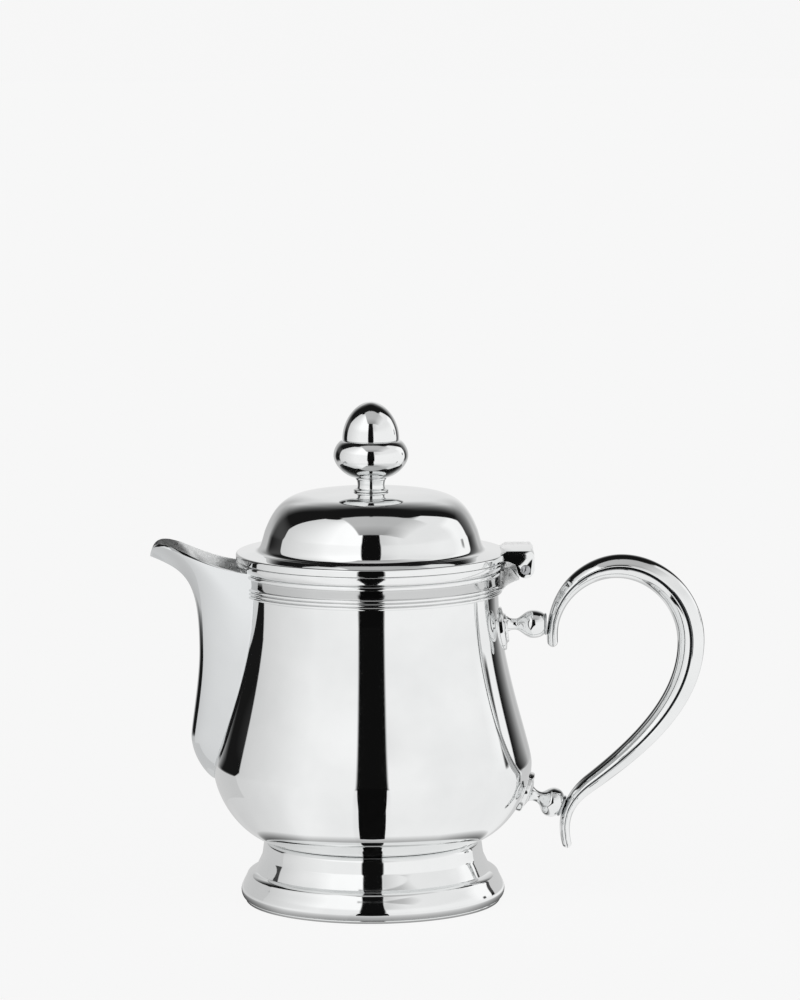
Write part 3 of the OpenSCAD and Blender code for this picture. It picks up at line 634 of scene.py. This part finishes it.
def acorn_profile(z, hole, hole_top):
    r, top = 11.05, z + 14.87
    return joined(
        [(hole, z), (r - 0.6, z)],
        sweep((r - 0.25, z), (0.25, 0.1), (0, -0.3), (r, z + 0.6), 4),
        curve((r, z + 0.6), (r, top - 7.1), (5.7, top), (0, top), 34),
    ) + [(0, hole_top), (hole, hole_top), (hole, z)]


# ---- spout


class SpoutShape:
    """The beak: a keel in the middle plane, a seam along the body, and a curve between."""

    # How far the edges of the lip stand over its keel
    CREST = 12.8

    def __init__(self, s):
        self.s = s
        self.body_r = body_radius(s)
        self.waist_z = s.rim_z - 35.4
        self.seam_top = s.rim_z - 3.2
        tip_z = s.foot_h + 23.9
        tip = (self.body_r(tip_z) + 0.6, tip_z)
        bulge, waist = (s.belly_r + 8.4, s.foot_h + 40.7), (67.2, self.waist_z)
        lip = (86.0, s.rim_z + 1.3)
        self.keels = [
            [tip, (s.belly_r + 4.3, tip_z + 3.1), (bulge[0], bulge[1] - 6.5), bulge],
            [bulge, (bulge[0], bulge[1] + 4.5), (waist[0], waist[1] - 12), waist],
            [waist, (waist[0], s.rim_z - 8.1), (lip[0] - 14.1, lip[1] - 5.8), lip],
        ]
        seam = curve((0.6, tip_z), (16.2, tip_z), (19, bulge[1] + 15),
                     (19.8, self.seam_top), 96)
        self.half_rows = [(z, y) for y, z in seam]

    def keel(self, u):
        i = min(int(u), 2)
        return bezier(*self.keels[i], u - i)

    def seat_r(self, z):
        """Radius of what the edge lies against; it runs on under the collar."""
        sheet_r = self.s.neck_r if z > self.s.collar_foot_z else self.body_r(z)
        return sheet_r + 2 * self.s.seam

    def point(self, v, u):
        """Point at u from the tip to the lip (0 to 1), and v from one seam to the other."""
        u *= 3
        side, share = (1 if v > 0.5 else -1), 1 - abs(2 * v - 1)
        # The section is a V on the keel, and opens to a rounded lip as q goes from 0 to 1
        rise = max(0.0, u - 2)
        q = rise * rise * (3 - 2 * rise)
        k = self.keel(u)
        z0 = k[1] if u <= 2 else self.waist_z + (self.seam_top - self.waist_z) * (u - 2)
        y0 = max(0.3, lookup(z0, self.half_rows))
        r0 = self.seat_r(z0)
        x0 = sqrt(r0 * r0 - y0 * y0)
        p1 = (x0 + 0.55 * (k[0] - x0), y0 * (0.62 + 0.06 * q), z0 + 0.3 * q)
        p2 = (k[0] - q, y0 * (0.33 + 0.4 * q), k[1] + self.CREST * q)
        p = bezier((x0, y0, z0), p1, p2, (k[0], 0, k[1]), share)
        clear = self.seat_r(p[2])
        far = max(p[0], 0 if p[1] >= clear else sqrt(clear * clear - p[1] * p[1]))
        return (-far, side * p[1], p[2])


# ---- handle


class HandleShape:
    """The bow: a centre line in the middle plane and a section of two faces with a groove."""

    # Thickness and width along the four curves of the centre line
    THICK = [(0, 4.2), (0.2, 4.6), (1, 9.4), (2, 10.5), (3, 6.9), (3.4, 4.8), (4, 3.6)]
    WIDE = [(0, 5.6), (0.25, 8.83), (1, 9.6), (2.2, 9.6), (3.2, 9.02), (4, 5.6)]
    # Share of the thickness outside the groove, and how full the two faces are
    OUTER, FULLNESS = 0.51, 1.35
    # Depth of the groove where the bow is as wide as this, and its half width
    DEPTH, FULL_WIDTH, HALF_GROOVE = 1.15, 9.6, 0.42
    # Part of the grid in each rounded cap, and how far the caps stand out
    CAP, FIRST_CAP, LAST_CAP = 0.03, 2.1, 1.8

    def __init__(self, upper, lower):
        (ux, uz), (lx, lz) = upper, lower
        crown, heel, foot = (96.3, uz + 22.6), (124.3, uz - 6.9), (lx + 8.7, lz + 10.2)
        self.curves = [
            [(ux, uz - 7), (69, uz + 10), (82.2, crown[1]), crown],
            [crown, (111.2, crown[1]), (heel[0], heel[1] + 16.2), heel],
            [heel, (heel[0], heel[1] - 23.6), (lx + 28.1, lz + 24.7), foot],
            [foot, (lx - 1.15, lz + 2.83), (lx - 2.7, lz - 5.2), (lx - 0.6, lz - 14)],
        ]

    def centre(self, u):
        i = min(int(u), 3)
        return bezier(*self.curves[i], u - i)

    def direction(self, u):
        a, b = self.centre(max(u - 0.01, 0)), self.centre(min(u + 0.01, 4))
        span = hypot(b[0] - a[0], b[1] - a[1])
        return ((b[0] - a[0]) / span, (b[1] - a[1]) / span)

    def section(self, u, v):
        """Place round the section as (towards the outside of the bow, across)."""
        t, w = smooth_lookup(u, self.THICK), smooth_lookup(u, self.WIDE)
        side, share = (1 if v < 0.5 else -1), 1 - abs(2 * v - 1)
        middle = t / 2 - self.OUTER * t
        end = t / 2 if share < 0.5 else -t / 2
        angle = pi / 2 * (1 - abs(1 - 2 * share))
        along = middle + (end - middle) * cos(angle) ** self.FULLNESS
        across = w / 2 * sin(angle) ** self.FULLNESS
        groove = exp(-((along - middle) / self.HALF_GROOVE) ** 2)
        across -= self.DEPTH * w / self.FULL_WIDTH * groove
        return (along, side * max(across, 0))

    def point(self, v, u):
        """Point at u along the bow, with a rounded cap at each end."""
        cap = self.CAP
        if u < cap or u > 1 - cap:
            first = u < cap
            angle = (cap - u if first else u - 1 + cap) / cap * pi / 2
            push = (-self.FIRST_CAP if first else self.LAST_CAP) * sin(angle)
            at, scale = (0.0 if first else 4.0), cos(angle)
        else:
            at, push, scale = 4 * (u - cap) / (1 - 2 * cap), 0.0, 1.0
        q, d, c = self.section(at, v), self.direction(at), self.centre(at)
        normal = (-d[1], d[0])
        return (c[0] + push * d[0] + scale * q[0] * normal[0], scale * q[1],
                c[1] + push * d[1] + scale * q[0] * normal[1])


# ---- sockets

# Thickness of the domed plates and of the thin rings, and where a baluster starts
PLATE, RING, START = 2.4, 0.8, 2.45
UPPER_PLATE_R = 8.6


def axis_frame(x, z, tilt):
    """Matrix that takes +Z to an axis that leaves the body at (x, z), tilt degrees from +Z."""
    return Matrix.Translation((x * MM, 0, z * MM)) @ Matrix.Rotation(radians(tilt), 4, "Y")


class Sockets:
    """Axes of the two sockets, and the two points of the handle that they carry."""

    # Fall of the lower axis in degrees, and length of the lower socket
    SLOPE, LOWER_LONG = 21.8, 15.1
    # Centre line of the handle on the upper axis, and from a ring to it, above and below
    HANDLE_X, UPPER_GRIP, LOWER_GRIP = 70.4, 2.3, 2.31

    def __init__(self, s):
        radius = body_radius(s)
        upper_z, lower_z = s.rim_z - 26, s.foot_h + 17.9
        upper_x, lower_x = radius(upper_z), radius(lower_z)
        # The upper plate sits square on the body, a little under its axis
        seat_z = upper_z - 1.7
        lean = degrees(atan((radius(seat_z - 5) - radius(seat_z + 5)) / 10))
        self.upper_seat = axis_frame(radius(seat_z), seat_z, 90 - lean)
        self.upper_axis = axis_frame(upper_x, upper_z, 90)
        self.lower_axis = axis_frame(lower_x, lower_z, 90 + self.SLOPE)
        ring, slope = RING + 2 * s.seam, radians(self.SLOPE)
        self.upper_long = self.HANDLE_X - self.UPPER_GRIP - ring - upper_x
        reach = self.LOWER_LONG + ring + self.LOWER_GRIP
        self.upper_hold = (self.HANDLE_X, upper_z)
        self.lower_hold = (lower_x + reach * cos(slope), lower_z - reach * sin(slope))


def plate_profile(r, flat_r):
    t, edge = PLATE, 0.7
    return joined(
        [(0, -4), (r, -4), (r, -1), (r, 0)], arc((r - edge, 0.5), edge, 0, 70, 8),
        curve((r * 0.72, t * 0.62), (r * 0.62, t * 0.8), (flat_r + 0.6, t * 0.94),
              (flat_r, t), 12),
        [(0, t)],
    )


def baluster_profile(bulb_r, long, root):
    """Baluster of this length, which starts root millimetres deeper than its plate's top."""
    neck_r, end = 2.2, (4.0, long)
    waist = (neck_r, START + 3.2)
    bulb = (bulb_r, waist[1] + (long - waist[1]) * 0.6)
    return joined(
        [(0, START - root), (neck_r + 1, START - root)],
        sweep((neck_r + 1, START + 0.05), (-1, 1.15), (0, -1), waist, 12),
        sweep(waist, (0, 2), (0, -3), bulb, 20),
        sweep(bulb, (0, 2.2), (0.9, -1), end, 16),
        [(0, long)],
    )


def ring_profile(z):
    r = 3.9
    return joined([(0, z)], arc((r, z + RING / 2), RING / 2, -90, 90, 10), [(0, z + RING)])


# ---- operators

# The strainer: radius of a hole, steps between holes and between rows, height of the lowest
# row over the seat of the foot, number of rows, and length of the drill
HOLE_R, HOLE_STEP, ROW_STEP, LOWEST_ROW, ROWS, DRILL = 1.3, 5, 4.35, 38, 9, 28


class PotOperator:
    bl_options = {"REGISTER", "UNDO"}


class POT_OT_body(PotOperator, bpy.types.Operator):
    """Raised pear-shaped body with its strainer behind the spout"""

    bl_idname = "pot.body"
    bl_label = "Body"

    def execute(self, context):
        s = Millimetres()
        body = turn("body", body_profile(s), s.steps)
        holes = []
        for row in range(ROWS):
            count = 3 if row % 2 == 0 else 4
            for i in range(count):
                clear_selection()
                x, y = -s.belly_r - 5 + DRILL / 2, (i - (count - 1) / 2) * HOLE_STEP
                z = s.foot_h + LOWEST_ROW + row * ROW_STEP
                bpy.ops.mesh.primitive_cylinder_add(
                    vertices=20, radius=HOLE_R * MM, depth=DRILL * MM, rotation=(0, pi / 2, 0),
                    location=(x * MM, y * MM, z * MM))
                holes.append(bpy.context.active_object)
        clear_selection()
        for hole in holes:
            hole.select_set(True)
        bpy.context.view_layer.objects.active = holes[0]
        bpy.ops.object.join()
        bpy.ops.object.transform_apply(location=True, rotation=True, scale=True)
        cut(body, bpy.context.active_object)
        finish_piece(body, spun_silver(), "pot", "silver_sheet", "body_shell")
        return {"FINISHED"}


class POT_OT_foot(PotOperator, bpy.types.Operator):
    """Spun foot and the wire ring under it"""

    bl_idname = "pot.foot"
    bl_label = "Foot"

    def execute(self, context):
        s = Millimetres()
        foot = turn("foot_skirt", foot_profile(s), s.steps)
        finish_piece(foot, spun_silver(), "pot", "silver_sheet", "foot")
        ring = turn("foot_wire", base_ring_profile(s), s.steps)
        finish_piece(ring, cast_silver(), "pot", "silver_cast", "foot_base_ring")
        return {"FINISHED"}


class POT_OT_neck(PotOperator, bpy.types.Operator):
    """Reeded collar and the moulding of the rim"""

    bl_idname = "pot.neck"
    bl_label = "Collar and rim"

    def execute(self, context):
        s = Millimetres()
        collar = turn("collar", collar_profile(s), s.steps)
        finish_piece(collar, reeded_silver(), "pot", "silver_cast", "reeded_collar")
        rim = turn("rim", rim_profile(s), s.steps)
        finish_piece(rim, cast_silver(), "pot", "silver_cast", "rim_moulding")
        return {"FINISHED"}


class POT_OT_spout(PotOperator, bpy.types.Operator):
    """Raised beak spout"""

    bl_idname = "pot.spout"
    bl_label = "Spout"

    def execute(self, context):
        s = Millimetres()
        beak = drape("beak", 96, 150, SpoutShape(s).point)
        close_up(beak)
        # A spot on the keel shows whether the sheet faces outwards
        keel = Vector((-70.6, 0, 65)) * MM
        middle = min(beak.data.polygons, key=lambda face: (face.center - keel).length)
        if middle.normal.x > 0:
            bpy.ops.object.mode_set(mode="EDIT")
            bpy.ops.mesh.flip_normals()
            bpy.ops.object.mode_set(mode="OBJECT")
        for material in (shaded_spout_silver(), satin_silver()):
            beak.data.materials.append(material)
        apply_modifier(beak, "SOLIDIFY", thickness=s.wall * MM, offset=-1,
                       use_even_offset=True, use_rim=True, material_offset=1)
        round_edges(beak, 0.25, 50)
        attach(beak, "pot")
        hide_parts("spout")
        return {"FINISHED"}


class POT_OT_hinge(PotOperator, bpy.types.Operator):
    """Bracket, lug and pin of the hinge"""

    bl_idname = "pot.hinge"
    bl_label = "Hinge"

    def execute(self, context):
        bracket = eased_copy("bracket", "hinge_bracket", 1.2)
        finish_piece(bracket, satin_silver(), "pot", "silver_cast", "hinge_bracket")
        lug = eased_copy("lug", "lid_hinge_lug", 0.55)
        finish_piece(lug, cast_silver(), "lid", "silver_cast", "lid_hinge_lug")
        dress_node("hinge_pin", turned_steel())
        return {"FINISHED"}


class POT_OT_sockets(PotOperator, bpy.types.Operator):
    """Domed plates, turned balusters and thin rings between body and handle"""

    bl_idname = "pot.sockets"
    bl_label = "Sockets"

    def execute(self, context):
        s = Millimetres()
        sockets = Sockets(s)
        around = s.steps // 2
        body_cutter = joined([(0, s.foot_h)], [(r + s.seam, z) for r, z in body_side(s)],
                             [(0, s.collar_foot_z)])
        for where, seat, plate in (
                ("upper", sockets.upper_seat, plate_profile(UPPER_PLATE_R, 5.2)),
                ("lower", sockets.lower_axis, plate_profile(8.1, 3.4))):
            piece = turn(where + "_plate", plate, around)
            place(piece, seat)
            cut(piece, turn("cutter", body_cutter, s.steps))
            finish_piece(piece, cast_silver(), "pot", "silver_cast", where + "_socket_plate")
        for where, axis, long, bulb, root in (
                ("upper", sockets.upper_axis, sockets.upper_long, 5.45, 1.0),
                ("lower", sockets.lower_axis, Sockets.LOWER_LONG, 5.8, 0.0)):
            piece = turn(where + "_baluster", baluster_profile(bulb, long, root), around)
            place(piece, axis)
            if root:
                block = [(0, -1.55), (UPPER_PLATE_R, -1.55), (UPPER_PLATE_R, START), (0, START)]
                cutter = turn("cutter", block, around)
                place(cutter, sockets.upper_seat)
                cut(piece, cutter)
            finish_piece(piece, cast_silver(), "pot", "silver_cast", where + "_socket")
            ring = turn(where + "_ring", ring_profile(long + s.seam), around)
            place(ring, axis)
            finish_piece(ring, dull_ring(), "pot", "dark_ring", where + "_socket_ring")
        return {"FINISHED"}


class POT_OT_handle(PotOperator, bpy.types.Operator):
    """Two-lobed bow handle"""

    bl_idname = "pot.handle"
    bl_label = "Handle"

    def execute(self, context):
        sockets = Sockets(Millimetres())
        shape = HandleShape(sockets.upper_hold, sockets.lower_hold)
        across, along = 96, 260
        bow = drape("bow_handle", across, along, shape.point)
        for material in (cast_silver(), painted_groove_shade()):
            bow.data.materials.append(material)
        # Each half of the columns is one side of the bow, with its groove in the middle
        half = across // 2
        for face in bow.data.polygons:
            column = min(index % (across + 1) for index in face.vertices)
            # The faces along each groove take the painted shade
            if abs(column % half - (half - 1) / 2) < 2:
                face.material_index = 1
        close_up(bow)
        smooth(bow, 24)
        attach(bow, "pot")
        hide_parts("handle")
        return {"FINISHED"}


class POT_OT_lid(PotOperator, bpy.types.Operator):
    """Domed lid with its flange, and the bezel under it"""

    bl_idname = "pot.lid"
    bl_label = "Lid"

    def execute(self, context):
        s = Millimetres()
        lid = turn("lid_dome", lid_profile(s), s.steps)
        finish_piece(lid, spun_silver(), "lid", "silver_sheet", "lid_shell")
        bezel = turn("lid_bezel_ring", bezel_profile(s), s.steps)
        finish_piece(bezel, spun_silver(), "lid", "silver_sheet", "lid_bezel")
        return {"FINISHED"}


class POT_OT_finial(PotOperator, bpy.types.Operator):
    """Acorn finial on its stem, with the stud, washer and nut that hold it"""

    bl_idname = "pot.finial"
    bl_label = "Finial"

    def execute(self, context):
        s = Millimetres()
        hole, stem_high, cup_high = 1.65, 5.4, 14.5
        stem_z = s.dome_top_z + s.seam
        cup_z = stem_z + stem_high + s.seam
        acorn_z = cup_z + cup_high + s.seam
        turned = (
            ("stem", stem_profile(stem_z, stem_z + stem_high, hole), "finial_stem"),
            ("acorn_cup", cup_profile(cup_z, cup_z + cup_high, hole), "finial_cup"),
            ("acorn_nut", acorn_profile(acorn_z, hole, acorn_z + 7.4), "finial_acorn"),
        )
        for name, profile, node in turned:
            piece = turn(name, profile, s.steps // 2)
            finish_piece(piece, cast_silver(), "lid", "silver_cast", node)
        for node in ("finial_stud", "finial_washer", "finial_nut"):
            dress_node(node, turned_steel())
        return {"FINISHED"}


# ---- studio

# The studio as seen from the pot. Azimuth runs from the camera towards the handle, or 0 to
# 360 degrees where a row goes round the back. Each row rises over its first two angles and
# falls over its last two; later rows lie over earlier ones. Levels are sRGB greys.
EVERYWHERE, BELOW = (-92, -91, 91, 92), (-92, -91, -32, -5)
WALL = (0.87, (28, 48, 0.43), (48, 66, 0.11))
SIDES = [
    # name, azimuth, elevation, level
    ("wall, left end", (184, 194, 251, 252), (-92, -91, 18, 34), 0.71),
    ("wall, right end", (100, 101, 158, 172), (-92, -91, 18, 34), 0.72),
    ("dark sides, low", (-144, -133, 129, 150), (-8, -5, 4, 26), 0.115),
    ("dark sides", (-160, -131, 130, 158), (4, 26, 91, 92), 0.115),
]
# The upright lights; the end of each leans towards the camera as it rises
LIGHTS = [
    ("left light, low", (-112, -110.5, -12, -10), EVERYWHERE, 0.93),
    ("left light", (-112, -110.5, -12, -10), (17, 27, 91, 92), 1.0),
    ("left light, end", (-112, -110.5, -110, -50), EVERYWHERE, 0.8),
    ("right light, low", (10, 12, 126.5, 128), EVERYWHERE, 0.93),
    ("right light", (10, 12, 126.5, 128), (17, 27, 91, 92), 0.89),
    ("right light, end", (100, 110, 126.5, 128), (0, 8, 30, 36), 0.97),
    ("stand", (112, 114, 116, 118), (1, 3, 8, 11), 0.25),
]
FLOOR = [
    ("floor", (100, 150, 210, 250), BELOW, 0.76),
    ("floor, back", (150, 172, 188, 210), BELOW, 0.86),
    ("floor, left", (-150, -110, -85, -40), BELOW, 0.87),
    ("floor, far left", (-150, -115, -110, -50), BELOW, 0.79),
    ("floor, right", (-40, 12, 100, 150), BELOW, 0.915),
]
SLIT = [
    ("right light, edge", (10, 12, 14, 32), (18, 30, 41, 43), 0.8),
    ("slit", (-10.9, -10.1, 10.1, 10.9), (-1.5, -1, 42.2, 42.9), 0.085),
]
# The ceiling, on a plane at height 1: its front edge; then its left edge, and the start and
# end of its fade to the right, each as (place at the front, change towards the back)
FRONT, EDGES = -1.05, ((-0.28, -0.12), (0.3, 0.25), (0.95, 0.2))
# Elevations over which the lights give way to the dark overhead
OVERHEAD = (56, 66)
# The black card: distance in front of the pot and half width, from its far edge
BLACK_CARD = ((5900, 1085), (107, 15), (55.5, 7.7))
# The low cards: level, radius, heights of the edges, and azimuths of the ends
CARD_LEVEL, CARD_R, CARD_FOOT, CARD_TOP = 0.77, 130, 2, 44
LOW_CARDS = (("card_left", -92, -166), ("card_right", 112, 162))
# The camera: place in metres, fall and roll in degrees, and lens in millimetres
CAMERA, FALL, ROLL, LENS = (0.0112, -2.098, 0.432), 7.46, -0.24, 196.2
# Height of the part of the body that meets the floor's reflection, in metres
EYE = 0.06


class Studio:
    """Nodes that give the light from a direction."""

    def __init__(self, tree):
        self.tree = tree

    def result(self, kind, *inputs, **settings):
        """First output of a new node whose first inputs are these values or sockets."""
        return add(self.tree, kind, inputs, **settings).outputs[0]

    def product(self, first, *others):
        """Product of two or more values or sockets."""
        for other in others:
            first = self.result(MATH, first, other, operation="MULTIPLY")
        return first

    def within(self, value, a, b, c, d):
        """1 from b to c, falling to 0 at a and d."""
        return self.product(self.result(RANGE, value, a, b),
                            self.result(RANGE, value, c, d, 1, 0))

    def mixed(self, level, other, mask):
        """The level, taken to the other by the mask."""
        change = self.result(MATH, other, level, operation="SUBTRACT")
        return self.result(MATH, level, self.product(mask, change), operation="ADD")

    def azimuth(self, x, y):
        """Angle in radians from the camera towards the handle."""
        return self.result(MATH, x, self.product(y, -1), operation="ARCTAN2")

    def rows(self, level, rows, azimuth, elevation):
        whole_turn = self.result(MATH, azimuth, 360, operation="FLOORED_MODULO")
        for name, across, up, value in rows:
            turned = whole_turn if across[3] > 200 else azimuth
            mask = self.product(self.within(turned, *across), self.within(elevation, *up))
            level = self.mixed(level, value, mask)
            level.node.label = name
        return level

    def ceiling(self, level, x, y, elevation):
        """Grey wedge of ceiling over the slit, and the dark beyond it."""
        back = self.result(MATH, y, -FRONT, operation="ADD")
        left, near, far = (self.result(MATH, back, change, start, operation="MULTIPLY_ADD")
                           for start, change in EDGES)
        soft = self.result(MATH, left, 0.04, operation="SUBTRACT")
        fades = ((x, soft, left), (x, near, far, 1, 0), (elevation, 30, 32))
        mask = self.product(self.within(y, FRONT - 0.03, FRONT, -0.14, -0.07),
                            *(self.result(RANGE, *fade) for fade in fades))
        shading = self.result(RANGE, y, -1.07, -0.6, 0.55, 0.7)
        level = self.mixed(level, shading, mask)
        beyond = self.product(self.result(RANGE, y, -0.13, -0.06),
                              self.result(RANGE, elevation, *OVERHEAD))
        return self.mixed(level, WALL[-1][-1], beyond)

    def light_from(self, direction, shade=None):
        """Colour of the light that comes from a direction."""
        x, y, z = add(self.tree, "ShaderNodeSeparateXYZ", (direction,)).outputs
        azimuth = self.product(self.azimuth(x, y), degrees(1))
        elevation = self.product(self.result(MATH, z, operation="ARCSINE"), degrees(1))
        height = self.result(MATH, z, 0.05, operation="MAXIMUM")
        level = WALL[0]
        for low, high, value in WALL[1:]:
            level = self.mixed(level, value, self.result(RANGE, elevation, low, high))
        level = self.rows(level, SIDES, azimuth, elevation)
        # The lights lean by these degrees as they rise, but for those close to the camera
        lean, more = (self.result(RANGE, elevation, 22, 62, 0, 28),
                      self.result(RANGE, elevation, *OVERHEAD, 0, 24))
        lean = self.result(MATH, lean, more, operation="ADD")
        aside = self.result(MATH, azimuth, operation="ABSOLUTE")
        lean = self.product(lean, self.result(RANGE, aside, 30, 70),
                            self.result(MATH, azimuth, operation="SIGN"))
        leaned = self.result(MATH, azimuth, lean, operation="ADD")
        level = self.rows(level, LIGHTS, leaned, elevation)
        over = [self.result(MATH, side, height, operation="DIVIDE") for side in (x, y)]
        level = self.ceiling(level, *over, elevation)
        level = self.rows(level, FLOOR + SLIT, azimuth, elevation)
        if shade is not None:
            level = self.product(level, shade)
        shown = self.result(MATH, level, DISPLAY_GAMMA, operation="POWER")
        return self.result(MATH, shown, SILVER_SHINE, operation="DIVIDE")


def new_material(name):
    material = bpy.data.materials.new(name)
    material.use_nodes = True
    return material


def make_matt(material, level, roughness):
    """Makes a material scatter light without a gleam, and gives its shader."""
    shader = material.node_tree.nodes["Principled BSDF"]
    shader.inputs["Base Color"].default_value = grey(level)
    shader.inputs["Roughness"].default_value = roughness
    shader.inputs["Specular IOR Level"].default_value = 0.0
    return shader


def only_reflected(piece):
    """Hides a piece of the studio from all but the metal."""
    for ray in ("camera", "diffuse", "transmission", "volume_scatter", "shadow"):
        setattr(piece, "visible_" + ray, False)


class POT_OT_stage(PotOperator, bpy.types.Operator):
    """Camera, pale floor and soft studio light"""

    bl_idname = "pot.stage"
    bl_label = "Stage"

    def camera(self):
        bpy.ops.object.camera_add(location=CAMERA)
        camera = bpy.context.active_object
        camera.name = "camera"
        tilt = Matrix.Rotation(radians(90 - FALL), 3, "X")
        camera.rotation_euler = (tilt @ Matrix.Rotation(radians(ROLL), 3, "Z")).to_euler()
        camera.data.lens = LENS
        camera.data.sensor_width = 36
        camera.data.clip_end = 20
        bpy.context.scene.camera = camera

    def floor(self):
        clear_selection()
        bpy.ops.mesh.primitive_plane_add(size=12, location=(0, 0, 0))
        floor = named("floor")
        material = new_material("pale paper floor")
        tree = material.node_tree
        paper = make_matt(material, 0.93, 0.9)
        # Seen straight on, the paper is lit evenly and takes a faint shadow
        glow = add(tree, EMISSION, {"Color": grey(0.987)})
        direct = add(tree, MIX, (0.93, paper.outputs[0], glow.outputs[0]))
        # Seen in the silver, it is part of the studio and darkens close to the foot
        studio = Studio(tree)
        at = add(tree, COORDINATES).outputs["Object"]
        ray = studio.result(VECTOR, at, (0, 0, EYE), operation="SUBTRACT")
        ray = studio.result(VECTOR, ray, operation="NORMALIZE")
        away = add(tree, VECTOR, (at,), operation="LENGTH").outputs["Value"]
        x, y, _ = add(tree, "ShaderNodeSeparateXYZ", (at,)).outputs
        turned = studio.result(MATH, studio.azimuth(x, y), operation="ABSOLUTE")
        aside = studio.result(RANGE, turned, 0.8, 1.9)
        # In front the shade is faint; at the sides it is deep and ends a little further out
        end, depth = (studio.result(RANGE, aside, 0, 1, front, side)
                      for front, side in ((0.06, 0.068), (0.65, 0.1)))
        shade = studio.result(RANGE, away, 0.05, end, depth, 1)
        mirrored = add(tree, EMISSION, {"Color": studio.light_from(ray, shade)})
        path = add(tree, LIGHT_PATH).outputs
        first = add(tree, MIX,
                    (path["Is Camera Ray"], paper.outputs[0], direct.outputs[0]))
        second = add(tree, MIX,
                     (path["Is Glossy Ray"], first.outputs[0], mirrored.outputs[0]))
        tree.links.new(second.outputs[0], tree.nodes["Material Output"].inputs["Surface"])
        floor.data.materials.append(material)

    def card(self):
        """Black card on the floor in front, which only the metal sees."""

        def shape(v, u):
            away, half = BLACK_CARD[round(2 * u)]
            return (half * (2 * v - 1), -away, 1)

        card = drape("black_card", 1, 2, shape)
        material = new_material("black velvet")
        make_matt(material, 0.09, 1.0)
        card.data.materials.append(material)
        only_reflected(card)

    def low_cards(self):
        """White cards low behind the foot on both sides, which only the metal sees."""
        material = new_material("white card, lit")
        tree = material.node_tree
        level = CARD_LEVEL ** DISPLAY_GAMMA / SILVER_SHINE
        glow = add(tree, EMISSION, {"Color": (level, level, level, 1)})
        tree.links.new(glow.outputs[0], tree.nodes["Material Output"].inputs["Surface"])
        for name, start, end in LOW_CARDS:

            def shape(v, u):
                azimuth = radians(start + (end - start) * v)
                return (CARD_R * sin(azimuth), -CARD_R * cos(azimuth),
                        CARD_FOOT + (CARD_TOP - CARD_FOOT) * u)

            card = drape(name, 16, 1, shape)
            card.data.materials.append(material)
            only_reflected(card)

    def light(self):
        world = bpy.data.worlds.new("studio")
        bpy.context.scene.world = world
        world.use_nodes = True
        tree = world.node_tree
        tree.nodes.clear()
        level = Studio(tree).light_from(add(tree, COORDINATES).outputs["Generated"])
        studio = add(tree, "ShaderNodeBackground", {"Color": level})
        paper = add(tree, "ShaderNodeBackground", {"Color": grey(0.967)})
        path = add(tree, LIGHT_PATH).outputs
        mixed = add(tree, MIX,
                    (path["Is Camera Ray"], studio.outputs[0], paper.outputs[0]))
        add(tree, "ShaderNodeOutputWorld", {"Surface": mixed.outputs[0]})

    def execute(self, context):
        clear_selection()
        self.camera()
        self.floor()
        self.card()
        self.low_cards()
        self.light()
        bpy.context.scene.view_settings.view_transform = "Standard"
        return {"FINISHED"}


# ---- panel

OPERATORS = (POT_OT_body, POT_OT_foot, POT_OT_neck, POT_OT_spout, POT_OT_hinge,
             POT_OT_sockets, POT_OT_handle, POT_OT_lid, POT_OT_finial, POT_OT_stage)


class POT_PT_panel(bpy.types.Panel):
    """Lists the pieces of the coffee pot and their sizes"""

    bl_label = "Coffee pot"
    bl_idname = "POT_PT_panel"
    bl_space_type = "VIEW_3D"
    bl_region_type = "UI"
    bl_category = "Coffee pot"

    def draw(self, context):
        column = self.layout.column()
        for group, settings in ((PotSizes, context.scene.pot_sizes),
                                (PotFinishes, context.scene.pot_finishes)):
            for key in group.__annotations__:
                column.prop(settings, key)
        for operator in OPERATORS:
            column.operator(operator.bl_idname)


CLASSES = (PotSizes, PotFinishes, *OPERATORS, POT_PT_panel)


def register():
    for cls in CLASSES:
        bpy.utils.register_class(cls)
    bpy.types.Scene.pot_sizes = PointerProperty(type=PotSizes)
    bpy.types.Scene.pot_finishes = PointerProperty(type=PotFinishes)


def unregister():
    del bpy.types.Scene.pot_finishes
    del bpy.types.Scene.pot_sizes
    for cls in reversed(CLASSES):
        bpy.utils.unregister_class(cls)


def main():
    register()
    for operator in OPERATORS:
        group, name = operator.bl_idname.split(".")
        getattr(getattr(bpy.ops, group), name)()
    clear_selection()


if __name__ == "__main__":
    main()
